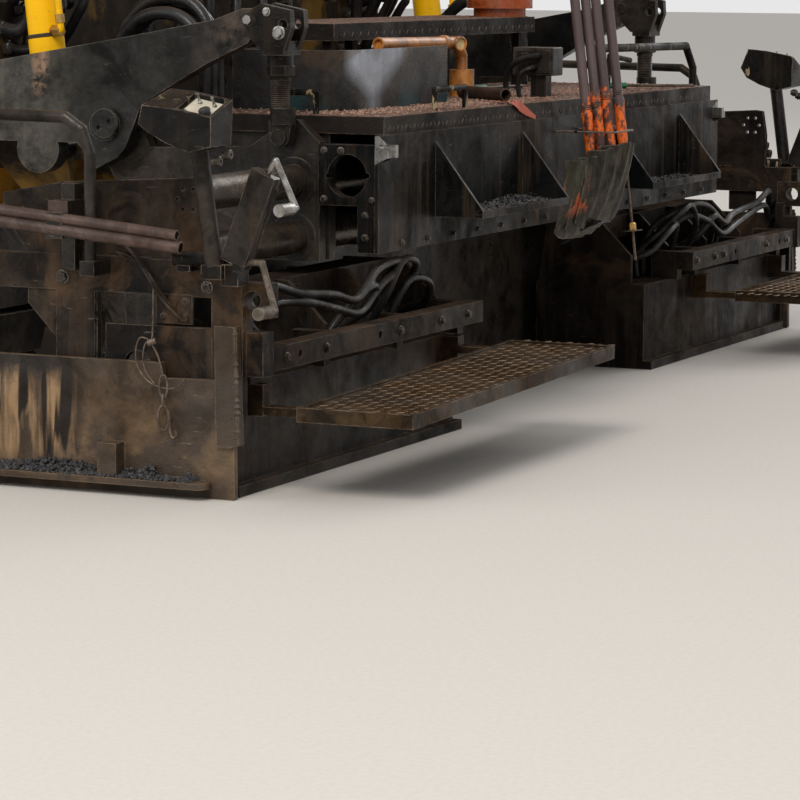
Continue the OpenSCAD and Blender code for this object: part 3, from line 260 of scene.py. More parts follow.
def gate_tones(k):
    """Bright tan where the mix has scoured the plate, black drips from its front top edge,
    a dark foot and a crusty dark post."""
    k.lay((0.215, 0.130, 0.064), k.blots(0.50, 0.64, 5, 6, 0.62, (1, 1, 0.7), 0.6),
          k.past("Z", 0.30, 0.12), 0.8)
    k.lay((0.36, 0.225, 0.118), k.past("X", -2.34, -2.26), k.past("Z", 0.03, 0.10),
          k.blots(0.40, 0.60, 30, 4, 0.6, (1, 1, 0.12)), 0.85)
    z = k.place("Z")
    ends = k.blots(0.32, 0.68, 19, 2, 0.5, (1, 1, 0.06), to=(0.03, 0.33))
    drips = k.meet(k.blots(0.45, 0.50, 26, 2, 0.5, (1, 1, 0.05)),
                   k.span(k.math("SUBTRACT", z, ends), -0.012, 0.02))
    lid = k.span(k.math("ADD", z, k.blots(0, 1, 14, 4, to=(-0.06, 0.06))), 0.28, 0.33)
    k.lay((0.010, 0.008, 0.007), k.math("MAXIMUM", drips, lid), k.past("X", -2.36, -2.31), 0.95)
    k.lay((0.040, 0.028, 0.019), k.past("Z", 0.07, 0.015), k.blots(0.36, 0.56, 9, 6), 0.8)
    k.lay((0.042, 0.029, 0.019), k.past("X", -2.752, -2.757), k.past("Z", 0.14, 0.15), 0.75)


def beam_tones(k):
    """Rusty tan spots on the extension's frame."""
    k.lay((0.105, 0.060, 0.032), k.blots(0.53, 0.64, 4.3, 6, 0.66, warp=0.8),
          k.past("Z", 0.2, 0.5), k.past("Z", 0.80, 0.62), 0.7)


def shield_tones(k):
    """A painted reflection of the sky as a soft wedge on the bent sheet's rear face, blue heat tints,
    brown scorch.
    """
    # Painted reflection: a pale blue-grey wedge, widest at the top, centred on the shield's middle in
    # y, on its rear face.
    off = k.math("ABSOLUTE", k.math("ADD", k.place("Y"), -SHIELD_MIDDLE))
    wedge = k.span(k.math("SUBTRACT", k.past("Z", 1.02, 1.17, (0.05, 0.30)), off), -0.02, 0.10)
    k.lay((0.40, 0.42, 0.46), wedge, k.blots(0.30, 0.55, 7, 5, 0.6, (1, 1, 0.5), to=(0.55, 1)),
          k.past("X", -2.53, -2.55))
    k.lay((0.012, 0.085, 0.095), k.blots(0.50, 0.62, 6, 5, 0.6), k.past("Z", 1.09, 1.0), 0.6)
    k.lay((0.085, 0.052, 0.030), k.blots(0.50, 0.60, 5, 6, 0.65, warp=0.7),
          k.past("Z", 1.06, 1.16), 0.7)


def blade_tones(k):
    """Pale streaks down the blades as painted highlight of their ridges, a green cast, and orange
    left on their near edges.
    """
    # Painted highlight: pale streaks running down the blades stand for the light on their ridges.
    k.lay((0.115, 0.098, 0.074), k.blots(0.52, 0.66, 30, 4, 0.6, (1.4, 1.4, 0.10)), 0.55)
    k.lay((0.040, 0.048, 0.024), k.blots(0.5, 0.62, 8, 4, 0.6, (1, 1, 0.4)), 0.5)
    k.lay((0.42, 0.085, 0.026), k.blots(0.545, 0.60, 24, 6, 0.7, (1, 1, 0.25)),
          k.past("Y", 0.05, 0.08), k.past("Z", 0.60, 0.64), k.past("Z", 0.76, 0.70), 0.85)


def box_tones(k):
    """Pale spots and short drips where the paint has come off."""
    spots = k.meet(k.blots(0.605, 0.635, 16, 5, 0.6, (1, 1, 0.6), 0.5), k.past("Y", 2.1, 1.9))
    drips = k.meet(k.blots(0.62, 0.66, 34, 3, 0.5, (1.6, 1.6, 0.12)), k.blots(0.48, 0.56, 6, 3),
                   k.past("Y", 2.1, 1.9, (0.3, 1)))
    k.lay((0.42, 0.32, 0.19), k.math("MAXIMUM", spots, drips), 0.85)


def deck_tones(k):
    """Reddish gravel dust on the deck's top, and painted shade, near black, on every face that does
    not face up.
    """
    top = k.facing_up(0.3, 0.9)
    red = k.mix(k.blots(0.45, 0.62, 150, 4, 0.7), (0.145, 0.078, 0.053), (0.46, 0.265, 0.185))
    k.lay(red, top, k.blots(0.34, 0.56, 3.5, 6, 0.66, to=(0.35, 0.95)))
    # Painted shade: every face that does not face up is darkened to near black.
    k.lay((0.010, 0.0097, 0.0094), k.math("SUBTRACT", 1.0, top), 0.8)


def make_steels():
    """What is steel or painted steel. In a row: the tone, its patches, dust, worn edges, share
    of metal, range of roughness, shares of dust and wear, streaks and their share, scale of the
    patches, depth of the pits and the coat."""
    brown, edge, run = (0.085, 0.055, 0.038), (0.24, 0.20, 0.16), (0.075, 0.049, 0.031)
    grimy("oily", (0.015, 0.0132, 0.0115), (0.050, 0.040, 0.031), brown, edge, 0.3, (0.26, 0.6),
          0.6, 0.7, run)
    grimy("frame", (0.021, 0.0188, 0.0168), (0.070, 0.057, 0.045), brown, edge, 0.3, (0.26, 0.6),
          0.6, 0.7, run)
    grimy("arm", (0.011, 0.0120, 0.0122), (0.033, 0.031, 0.027), brown, edge, 0.3, (0.24, 0.56),
          0.6, 0.8, (0.010, 0.010, 0.010), 0.7, tones=arm_tones)
    grimy("beam", (0.012, 0.010, 0.009), (0.042, 0.030, 0.021), brown, edge, 0.0, (0.34, 0.68),
          0.7, 0.7, run, 0.6, tones=beam_tones, damp=0.35)
    grimy("hood", (0.0060, 0.0068, 0.0074), (0.017, 0.0150, 0.0135), (0.045, 0.030, 0.022),
          (0.21, 0.17, 0.14), 0.0, (0.26, 0.58), 0.8, 0.6, run, 0.8, damp=0.3)
    grimy("box", (0.007, 0.0065, 0.006), (0.020, 0.017, 0.014), (0.060, 0.040, 0.028),
          (0.30, 0.23, 0.17), 0.0, (0.28, 0.55), 0.4, 0.9, run, 0.4, tones=box_tones, damp=0.4)
    grimy("shield", (0.030, 0.029, 0.029), (0.062, 0.050, 0.041), brown, edge, 0.3, (0.25, 0.5),
          0.5, 0.8, run, 0.5, tones=shield_tones)
    grimy("gate", (0.072, 0.048, 0.031), (0.100, 0.065, 0.039), (0.15, 0.098, 0.060),
          (0.33, 0.23, 0.14), 0.0, (0.45, 0.75), 0.5, 0.7, None, 0.0, 2.4, 0.8, tones=gate_tones)
    grimy("deck", (0.040, 0.027, 0.020), (0.090, 0.053, 0.034), (0.105, 0.064, 0.044),
          (0.32, 0.22, 0.15), 0.0, (0.36, 0.7), 0.55, 0.75, (0.018, 0.015, 0.012), 0.5, 4.5,
          tones=deck_tones, damp=0.35)
    grimy("step", (0.028, 0.017, 0.009), (0.068, 0.038, 0.016), (0.060, 0.035, 0.017),
          (0.30, 0.22, 0.15), 0.0, (0.3, 0.62), 0.55, 0.9, (0.014, 0.011, 0.009), 0.8, 5.5,
          damp=0.5)
    grimy("worn", (0.090, 0.078, 0.066), (0.034, 0.027, 0.021), brown, (0.40, 0.35, 0.29), 0.7,
          (0.24, 0.5), 0.5, 0.85, (0.042, 0.028, 0.018))
    grimy("tube", (0.135, 0.088, 0.072), (0.075, 0.050, 0.042), (0.16, 0.115, 0.095),
          (0.30, 0.22, 0.18), 0.35, (0.28, 0.5), 0.3, 0.5, (0.045, 0.030, 0.024), 0.6, 6, 0.2)
    grimy("crusty", (0.23, 0.19, 0.15), (0.090, 0.068, 0.050), brown, (0.42, 0.36, 0.29), 0.35,
          (0.35, 0.62), 0.4, 0.7, run, 0.5, 14, 1.0)
    grimy("orange", (0.46, 0.080, 0.014), (0.34, 0.085, 0.026), (0.10, 0.062, 0.042),
          (0.09, 0.05, 0.03), 0.0, (0.22, 0.5), 0.5, 0.8, (0.030, 0.018, 0.012), 1.0, 7, 0.5, 0.35)
    grimy("burnt", (0.075, 0.040, 0.028), (0.040, 0.024, 0.018), brown, (0.22, 0.15, 0.11), 0.2,
          (0.34, 0.6), 0.4, 0.6, run, 0.5, 9, 0.8)
    grimy("blade", (0.024, 0.022, 0.017), (0.048, 0.039, 0.030), brown, (0.30, 0.26, 0.20), 0.3,
          (0.24, 0.5), 0.2, 0.8, run, 0.4, 6, 0.5, tones=blade_tones)
    grimy("rubber", (0.012, 0.0115, 0.0115), (0.032, 0.029, 0.027), (0.078, 0.063, 0.050),
          (0.06, 0.054, 0.05), 0.0, (0.26, 0.52), 0.55, 0.2, (0.05, 0.036, 0.026), 0.4, 4, 0.3)
    grimy("pads", (0.024, 0.022, 0.020), (0.055, 0.046, 0.038), (0.14, 0.11, 0.085),
          (0.12, 0.10, 0.08), 0.0, (0.6, 0.9), 0.8, 0.6, None, 0, 3, 0.7)
    grimy("guide", (0.125, 0.098, 0.072), (0.060, 0.046, 0.033), brown, (0.36, 0.30, 0.23), 0.6,
          (0.20, 0.44), 0.4, 0.7, (0.19, 0.125, 0.070), 0.7, 5)
    filth = (0.030, 0.020, 0.013)
    paint("yellow", (0.90, 0.455, 0.002), (0.80, 0.36, 0.004), filth, -1.2, -3.0)
    paint("cylinder", (1.0, 0.54, 0.001), (0.97, 0.50, 0.002), filth, -2.2, -4.0, 0.08)
    # rear: a shaded copy of the yellow, with more runs, darker filth, and painted shade that darkens
    # it by 0.65 from x = -0.95 rearwards, in full from -1.45
    paint("rear", (0.86, 0.43, 0.003), (0.76, 0.35, 0.006), (0.018, 0.013, 0.009), -0.95, -1.45,
          0.5, 0.35)


def make_fittings():
    """Small fittings. In a row: the tone, a second one, range of roughness, share of metal,
    scale of the noise, depth of the bumps, dirt, coat and gloss."""
    for row in (
            ("lozenge", (0.19, 0.108, 0.074), (0.070, 0.040, 0.028), (0.35, 0.6), 0.15, 45, 0.4,
             0.6),
            ("faint", (0.075, 0.060, 0.045), (0.030, 0.025, 0.020), (0.35, 0.6), 0.3, 14, 0.2, 0.8),
            ("tread", (0.24, 0.155, 0.090), (0.11, 0.066, 0.038), (0.3, 0.52), 0.45, 10, 0.2, 0.75),
            ("bright", (0.40, 0.39, 0.37), (0.15, 0.135, 0.115), (0.16, 0.40), 0.9, 34, 0.2, 0.75),
            # dark: near black, used as painted shade for the holes in the arms' cover discs, inside
            # the tubes' mouths, and on the shovels' foot plate and bar
            ("dark", (0.004, 0.004, 0.004), (0.007, 0.006, 0.006), (0.7, 0.9), 0.0, 30, 0.15,
             0.35, 0.0, 0.05),
            ("wire", (0.17, 0.125, 0.092), (0.070, 0.045, 0.032), (0.35, 0.6), 0.5, 40, 0.4, 0.6),
            ("lance", (0.62, 0.245, 0.052), (0.24, 0.080, 0.024), (0.22, 0.45), 0.0, 19, 0.3, 1.0,
             0.35),
            ("grit", (0.54, 0.32, 0.225), (0.17, 0.094, 0.067), (0.4, 0.8), 0.0, 120, 0.6, 0.3),
            ("asphalt", (0.017, 0.016, 0.017), (0.060, 0.056, 0.056), (0.35, 0.8), 0.0, 90, 0.6,
             0.3),
            ("panel", (0.66, 0.60, 0.47), (0.50, 0.44, 0.33), (0.3, 0.5), 0.0, 20, 0.05, 0.25),
            ("plastic", (0.014, 0.014, 0.015), (0.024, 0.023, 0.023), (0.35, 0.5), 0.0, 40, 0.2,
             0.1),
            ("red", (0.50, 0.105, 0.055), (0.36, 0.050, 0.028), (0.35, 0.6), 0.0, 24, 0.2, 0.6),
            ("green", (0.015, 0.17, 0.075), (0.02, 0.10, 0.05), (0.35, 0.55)),
            ("pale", (0.80, 0.66, 0.36), (0.60, 0.42, 0.18), (0.4, 0.6)),
            ("brass", (0.52, 0.33, 0.11), (0.36, 0.21, 0.07), (0.22, 0.4), 1.0, 60)):
        plain(*row)


def make_shovel_paint():
    """Purplish brown handles, flaking orange at their low ends."""
    k = Look("shovel", (0.115, 0.078, 0.074))
    k.lay((0.060, 0.041, 0.038), k.blots(0.38, 0.64, 6, 6, 0.62, (1, 1, 0.3)))
    orange = k.mix(k.blots(0.45, 0.53, 23, 6, 0.72, (1, 1, 0.6)), (0.84, 0.150, 0.014),
                   (0.060, 0.028, 0.022))
    ends = k.math("ADD", k.place("Z"), k.blots(0, 1, 9, 4, to=(-0.16, 0.16)))
    k.lay(orange, k.span(ends, 1.00, 0.985))
    k.lay((0.26, 0.22, 0.18), k.edges(0.004), k.blots(0.42, 0.62, 21, 5, 0.7), 0.6)
    k.lay((0.025, 0.018, 0.014), k.blots(0.58, 0.66, 60, 6, 0.75, to=(0, 0.5)))
    r = k.blots(0.3, 0.72, 13, 6, 0.65, to=(0.30, 0.55))
    k.finish(r, 0.1, k.bump(k.noise(55, 7, 0.72), 0.3, 0.0012))


def make_cover():
    """Grained black vinyl of the seats, dusty where it faces up."""
    k = Look("cover", (0.016, 0.016, 0.017))
    k.lay((0.045, 0.040, 0.036), k.blots(0.42, 0.66, 7, 6, 0.65))
    k.lay((0.12, 0.095, 0.07), k.facing_up(0.2, 0.9), k.blots(0.42, 0.7, 12, 7, 0.7), 0.4)
    grain = k.bump(k.cells(900, "SMOOTH_F1"), 0.25, 0.0006)
    k.finish(k.blots(0.3, 0.7, 16, 6, to=(0.42, 0.6)), 0.0, grain)


def make_lens():
    """Ribbed glass of the lamps."""
    k = Look("lens", (0.70, 0.72, 0.74))
    k.lay((0.50, 0.50, 0.47), k.blots(0.4, 0.7, 30))
    ribs = k.node("TexWave", {"Vector": k.coords, "Scale": 22, "Distortion": 0.3},
                  bands_direction="Y")
    k.finish(0.12, 0.35, k.bump(ribs.outputs["Fac"], 0.5, 0.003), None, 0.6, 0.05)


def make_chrome():
    k = Look("chrome", (0.62, 0.62, 0.63))
    k.lay((0.34, 0.30, 0.26), k.blots(0.5, 0.7, 6))
    r = k.blots(0.3, 0.7, 60, 4, 0.6, (1, 1, 0.2), to=(0.10, 0.28))
    k.finish(r, 1.0, k.bump(k.noise(240), 0.1, 0.0004))


CARRIED = {
    "yellow": ["engine_housing", "engine_lid", "canopy", "hopper_wing_left",
               "hopper_wing_right"],
    "cylinder": ["lift_barrel_left", "lift_barrel_right"],
    "frame": ["screed_frame"],
    # rear: yellow paint with painted shade on the chassis's rear end
    "rear": ["chassis_frame", "lift_brackets"],
    "oily": ["track_frames", "platform", "console", "auger_drive", "push_bar",
             "rigging_screws", "ext_rail_left", "ext_rail_right", "engine_block"],
    "arm": ["tow_arms"],
    "beam": ["ext_frame_left", "ext_frame_right"],
    "box": ["control_box_left", "control_box_right"],
    "shield": ["heat_shield"],
    "hood": ["rear_hood"],
    "deck": ["screed_deck", "bottle_shelf"],
    "step": ["ext_step_left", "ext_step_right"],
    "gate": ["end_gate_left", "end_gate_right"],
    "worn": ["hopper_floor", "conveyors", "auger_left", "auger_right", "push_roller_left",
             "push_roller_right", "screed_sole"],
    "guide": ["guide_tubes_left", "guide_tubes_right"],
    "orange": ["gas_bottle"],
    "rubber": ["deck_hoses", "ext_hoses_left", "ext_hoses_right"],
    "pads": ["track_left", "track_right"],
    "shovel": ["shovels"],
    "chrome": ["lift_rod_left", "lift_rod_right"],
}


def repaint(name, key, test):
    """Gives the faces of a CAD node whose middle passes a test another material."""
    mesh = NODES[name].data
    mesh.materials.append(MAT[key])
    for p in mesh.polygons:
        if test(*p.center):
            p.material_index = len(mesh.materials) - 1


def soften(mesh, angle=None):
    """Smooth shading, with sharp edges above an angle in degrees."""
    for p in mesh.polygons:
        p.use_smooth = True
    if angle:
        mesh.set_sharp_from_angle(angle=math.radians(angle))


def smooth_once(obj, name):
    """One level of subdivision, in the view and in the render."""
    mod = obj.modifiers.new(name, "SUBSURF")
    mod.levels = mod.render_levels = 1


def dress_frame():
    """Materials and smooth shading of the frame's own nodes."""
    for key, names in CARRIED.items():
        for name in names:
            mesh = NODES[name].data
            mesh.materials.clear()
            mesh.materials.append(MAT[key])
    for name in CARRIED["rubber"]:
        soften(NODES[name].data)
        NODES[name].modifiers.new("weld", "WELD").merge_threshold = 0.0002
        smooth_once(NODES[name], "round")
    for name in ("ext_rail_left", "ext_rail_right", "gas_bottle"):
        soften(NODES[name].data, 38)
    for side, _ in SIDES:
        box = "control_box_" + side
        repaint(box, "bright", lambda x, y, z: x < -2.925 and z > 0.7)
        repaint(box, "crusty", lambda x, y, z: z < 0.66 and (
            x < -2.905 or x < -2.845 and 0.632 < z < 0.656))
        repaint(box, "oily", lambda x, y, z: 0.66 < z < 0.93 and -2.905 < x < -2.7)
        repaint("ext_rail_" + side, "tube", lambda x, y, z: (
            x < -1.63 and abs(abs(y) - RAIL_Y) < 0.0115 and 0.66 < z < 0.82))
    repaint("gas_bottle", "lance", lambda x, y, z: x < -2.34 and y > -0.12)
    repaint("screed_deck", "box", lambda x, y, z: z > 0.99)
    repaint("rear_hood", "bright", lambda x, y, z: x < -2.8 and abs(y) > 1.438 and z > 0.867)
    repaint("canopy", "plastic", lambda x, y, z: (
        z < 3.52 and abs(abs(y) - 1.2) < 0.075 and abs(z - 3.45) < 0.069))


# Mesh tools

def ring(center, r, u, w, sides, phase=0.0):
    """Points of a circle in the plane of two unit vectors."""
    return [center + r * (math.cos(a) * u + math.sin(a) * w)
            for a in (2 * math.pi * (k + phase) / sides for k in range(sides))]


def mirrored(points, s):
    return [Vector((x, y * s, z)) for x, y, z in points]


def curve(points, steps=6):
    """Points of a smooth curve through the given ones."""
    p = [Vector(q) for q in points]
    out = []
    for i in range(len(p) - 1):
        a, b, c, d = p[max(i - 1, 0)], p[i], p[i + 1], p[min(i + 2, len(p) - 1)]
        for t in (k / steps for k in range(steps)):
            out.append(0.5 * (2 * b + (c - a) * t + (2 * a - 5 * b + 4 * c - d) * t * t
                              + (3 * b - a - 3 * c + d) * t * t * t))
    return out + [p[-1]]


class Build:
    """Vertices and faces of one piece, gathered before they become an object."""

    def __init__(self):
        self.verts, self.faces = [], []

    def add(self, verts, faces):
        n = len(self.verts)
        self.verts += [tuple(v) for v in verts]
        self.faces += [tuple(i + n for i in f) for f in faces]

    def loft(self, rings, caps=True, closed=False):
        """Skin over rings of as many points each, with capped ends or closed on itself."""
        n, m = len(rings[0]), len(rings)
        faces = []
        for i in range(m if closed else m - 1):
            near, far = i * n, (i + 1) % m * n
            for k in range(n):
                after = (k + 1) % n
                faces.append((near + k, near + after, far + after, far + k))
        if caps and not closed:
            faces += [tuple(range(n))[::-1], tuple(range((m - 1) * n, m * n))]
        self.add([p for r in rings for p in r], faces)

    def turned(self, base, axis, profile, sides=16, caps=True):
        """Rings of (distance along the axis, radius) round an axis."""
        base, axis = Vector(base), Vector(axis).normalized()
        u = axis.orthogonal().normalized()
        w = axis.cross(u)
        self.loft([ring(base + axis * d, r, u, w, sides, 0.5) for d, r in profile], caps)

    def tube(self, points, r, sides=8, closed=False):
        """Round bar along a path."""
        p = [Vector(q) for q in points]
        rings, side = [], None
        for i, q in enumerate(p):
            if closed:
                t = (p[(i + 1) % len(p)] - p[i - 1]).normalized()
            else:
                t = (p[min(i + 1, len(p) - 1)] - p[max(i - 1, 0)]).normalized()
            side = t.orthogonal() if side is None else side - t * side.dot(t)
            side.normalize()
            rings.append(ring(q, r, side, t.cross(side), sides))
        self.loft(rings, True, closed)

    def prism(self, outline, offset):
        """Flat outline of 3-D points, thickened by an offset."""
        self.loft([[Vector(q) for q in outline], [Vector(q) + Vector(offset) for q in outline]])

    def block(self, lo, hi, chamfer=0.0):
        """Box between two corners, with all its edges chamfered if asked."""
        c = chamfer
        rings = []
        for z, i in ((lo[2], c), (lo[2] + c, 0), (hi[2] - c, 0), (hi[2], c)):
            x0, x1, y0, y1 = lo[0] + i, hi[0] - i, lo[1] + i, hi[1] - i
            rings.append([(x0 + c, y0, z), (x1 - c, y0, z), (x1, y0 + c, z), (x1, y1 - c, z),
                          (x1 - c, y1, z), (x0 + c, y1, z), (x0, y1 - c, z), (x0, y0 + c, z)]
                         if c else [(x0, y0, z), (x1, y0, z), (x1, y1, z), (x0, y1, z)])
        self.loft(rings if c else [rings[0], rings[3]])

    def plate(self, x, y, z, s, chamfer=0.003):
        """Block of ranges in x and z whose range in y is mirrored to a side."""
        (x0, x1), (y0, y1), (z0, z1) = x, sorted((y[0] * s, y[1] * s)), z
        self.block((x0, y0, z0), (x1, y1, z1), chamfer)

    def bolt(self, at, out, r=0.012):
        """Hexagon head on its washer."""
        self.turned(at, out, [(-0.001, r * 1.3), (r * 0.18, r * 1.3), (r * 0.22, r * 1.22)], 14)
        self.turned(at, out, [(r * 0.2, r), (r * 0.8, r), (r * 0.95, r * 0.8)], 6)

    def lozenges(self, origin, u, v, n, nu, nv, pitch, keep=None):
        """Raised bars of chequer plate, turned this way and that."""
        origin, v, top = Vector(origin), Vector(v), Vector(n) * 0.0018
        for i in range(nu):
            for j in range(nv):
                c = origin + u * ((i + 0.5) * pitch) + v * ((j + 0.5) * pitch)
                if keep and not keep(c):
                    continue
                s = 1 if (i + j) % 2 else -1
                long = (u + v * s) * (pitch * 0.30)
                wide = (v - u * s) * (pitch * 0.105)
                self.add([c - long, c + wide, c + long, c - wide,
                          c - long * 0.6 + top, c + long * 0.6 + top],
                         [(0, 4, 1), (1, 4, 5), (1, 5, 2), (2, 5, 3), (3, 5, 4), (3, 4, 0)])

    def crumbs(self, places, seed, size):
        """Lumps of stuck asphalt or grit at the given places."""
        rnd = random.Random(seed)
        for p in places:
            s = size * (0.5 + 1.2 * rnd.random() ** 2)
            turn = Matrix.Rotation(rnd.uniform(0, 6.3), 3, Vector(
                [rnd.uniform(-1, 1) for _ in range(3)]).normalized())
            self.add([Vector(p) + (turn @ (c * s * rnd.uniform(0.6, 1.1)))
                      for c in (X, -X, Y, -Y, Z, -Z)],
                     [(0, 2, 4), (2, 1, 4), (1, 3, 4), (3, 0, 4),
                      (2, 0, 5), (1, 2, 5), (3, 1, 5), (0, 3, 5)])

    def weld(self, a, b, r, seed):
        """Lumpy bead of weld from a to b."""
        rnd = random.Random(seed)
        a, b = Vector(a), Vector(b)
        n = max(4, int((b - a).length / 0.008))
        axis = (b - a).normalized()
        u = axis.orthogonal().normalized()
        rings = []
        for i in range(n + 1):
            s = r * (1 + rnd.uniform(-0.28, 0.3)) * (0.8 if i % 2 else 1.1)
            rings.append(ring(a.lerp(b, i / n), s, u, axis.cross(u), 7))
        self.loft(rings)

    def make(self, name, body, slot, mat, smooth=35):
        """The piece as an object that rides on a body of the frame."""
        mesh = bpy.data.meshes.new(name)
        mesh.from_pydata(self.verts, [], self.faces)
        bm = bmesh.new()
        bm.from_mesh(mesh)
        bmesh.ops.recalc_face_normals(bm, faces=bm.faces)
        bm.to_mesh(mesh)
        bm.free()
        mesh.materials.append(MAT[mat])
        if smooth:
            soften(mesh, smooth)
        obj = bpy.data.objects.new(name, mesh)
        bpy.context.scene.collection.objects.link(obj)
        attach(obj, body)
        return obj


# Screed and extensions

def chequer():
    """Raised pattern of the deck, the bottle shelf, the steps and the operator's floor."""
    b = Build()
    b.lozenges((-2.794, -1.432, DECK_TOP), X, Y, Z, 24, 89, 0.032)
    b.lozenges((-2.344, -0.824, 1.238), X, Y, Z, 11, 51, 0.032)
    b.make("chequer_deck", "screed", "rusty_steel", "lozenge")
    b = Build()
    b.lozenges((DECK_REAR, -1.43, 0.934), Z, Y, -X, 1, 95, 0.030)
    b.lozenges((-2.35, -0.82, 1.188), Z, Y, -X, 1, 54, 0.030)
    b.make("chequer_edges", "screed", "rusty_steel", "faint")
    for side, s, y_in, lean in (("left", 1, 0.85, math.radians(1.26)), ("right", -1, 1.29, 0.0)):
        rise, level = math.sin(lean), math.cos(lean)
        b = Build()
        b.lozenges((-3.286, 2.331 * s, 0.2443 + 0.014 * rise), X, (0, -s * level, rise),
                   (0, s * rise, level), 9, int((2.333 - y_in - 0.012) / 0.032), 0.0345)
        b.make("chequer_step_" + side, "extension_" + side, "rusty_steel", "tread")
    b = Build()
    b.lozenges((-1.47, -1.38, 1.62), X, Y, Z, 30, 78, 0.035,
               lambda c: c.x < -0.12 and not (c.x > -0.44 and abs(c.y) < 0.72))
    b.make("chequer_floor", "tractor", "dark_steel", "oily")


def bolts():
    """Bolts of the extensions' sides and rear beams, and of the hood."""
    beam_rear, hood_side, hood_rear = -2.86, 1.5, -2.81
    beam_bolts = {"left": (0.95, 1.15, 1.45, 1.95, 2.2), "right": (1.15, 1.35, 1.45, 1.95, 2.2)}
    for side, s in SIDES:
        b = Build()
        for x, z, r in ((-2.273, 0.575, 0.016), (-2.716, 0.566, 0.014), (-1.63, 0.575, 0.016),
                        (-2.31, 0.33, 0.012), (-2.37, 0.617, 0.010)):
            b.bolt((x, EXT_OUT * s, z), Y * s, r)
        for y in beam_bolts[side]:
            b.bolt((beam_rear, y * s, 0.367), -X, 0.011)
        b.make("bolts_extension_" + side, "extension_" + side, "dark_steel", "worn")
        b = Build()
        for x, z, r in ((-2.690, 0.886, 0.009), (-2.636, 0.886, 0.009), (-2.636, 0.745, 0.009),
                        (-2.790, 0.745, 0.008), (-2.768, 0.636, 0.009), (-2.768, 0.70, 0.009)):
            b.bolt((x, hood_side * s, z), Y * s, r)
        b.make("bolts_hood_" + side, "screed", "dark_steel", "worn")
    b = Build()
    for i in range(15):
        b.bolt((hood_rear, -1.33 + i * 0.19, 0.612), -X, 0.008)
    b.make("bolts_hood_foot", "screed", "dark_steel", "oily")


def arm_details():
    """Cover disc on each arm's pivot, with two near-black discs on it as painted shade for its holes,
    bolts of the screw's head, its nut and threads.
    """
    for side, s in SIDES:
        out = Y * s
        b = Build()
        b.turned((-1.952, ARM_OUT * s, 0.950), out, [(0.0, 0.046), (0.006, 0.046), (0.009, 0.043)],
                 40)
        b.make("arm_disc_" + side, "screed", "dark_steel", "arm")
        # Painted shade: two near-black discs on each cover stand for the shade in its holes.
        b = Build()
        for x, z in ((-1.934, 0.939), (-1.968, 0.958)):
            b.turned((x, (ARM_OUT + 0.0085) * s, z), out, [(0, 0.0062), (0.0012, 0.0060)])
        b.make("arm_disc_hole_shades_" + side, "screed", "dark_steel", "dark")
        b = Build()
        b.bolt((-2.532, 1.586 * s, 1.225), out, 0.016)
        b.bolt((-2.492, 1.586 * s, 1.285), out, 0.010)
        b.turned((-2.436, 1.594 * s, 1.262), out, [(0, 0.016), (0.010, 0.014)], 6)
        b.turned((-2.515, 1.546 * s, 0.923), out, [(0, 0.022), (0.006, 0.019)], 24)
        b.make("screw_bolts_" + side, "screed", "dark_steel", "bright")
        b = Build()
        screw = Vector((SCREW.x, SCREW.y * s, 0))
        b.turned(screw + Z * 1.098, Z, [(0, 0.038), (0.004, 0.042), (0.03, 0.042), (0.034, 0.038)],
                 6)
        for z, top, r in ((1.010, 1.095, 0.0275), (1.134, 1.16, 0.034)):
            profile = []
            while z < top:
                profile += [(z, r - 0.002), (z + 0.003, r + 0.0015)]
                z += 0.006
            b.turned(screw, Z, profile, 20)
        b.make("screw_threads_" + side, "screed", "dark_steel", "oily")


def gate_details():
    """Weld beads on the gates and the asphalt that has piled up on their skis."""
    for side, s in SIDES:
        b = Build()
        for seed, r, *ends in (
                (3, 0.0065, (-2.826, 2.424 * s, 0.155), (-2.816, 2.424 * s, 0.466)),
                (4, 0.004, (-2.757, 2.416 * s, 0.147), (-2.755, 2.416 * s, 0.322)),
                (5, 0.004, (-2.70, GATE_OUT * s, 0.049), (-1.62, GATE_OUT * s, 0.049)),
                (6, 0.004, (-2.478, GATE_OUT * s, 0.052), (-2.478, GATE_OUT * s, 0.138))):
            b.weld(*ends, r, seed)
        b.make("gate_welds_" + side, "gate_" + side, "rusty_steel", "gate")
        rnd = random.Random(11 if s > 0 else 12)
        places = []
        for _ in range(3200):
            x = rnd.uniform(-2.70, -1.60)
            depth = rnd.random() ** 1.5
            y = 2.417 + 0.056 * depth
            on_lug = -2.48 < x < -2.416 and depth < 0.85
            under_hook = s > 0 and -2.665 < x < -2.575 and y < 2.449
            if on_lug or under_hook:
                continue
            hill = 0.034 * (1 - depth) * (0.45 + 0.55 * math.sin(x * 9.0) ** 2)
            hill *= min(1, (x + 2.72) / 0.08)
            places.append((x, y * s, 0.049 + hill * rnd.random()))
        b = Build()
        b.crumbs(places, 21, 0.0066)
        b.make("gate_crumbs_" + side, "gate_" + side, "track_pads", "asphalt")


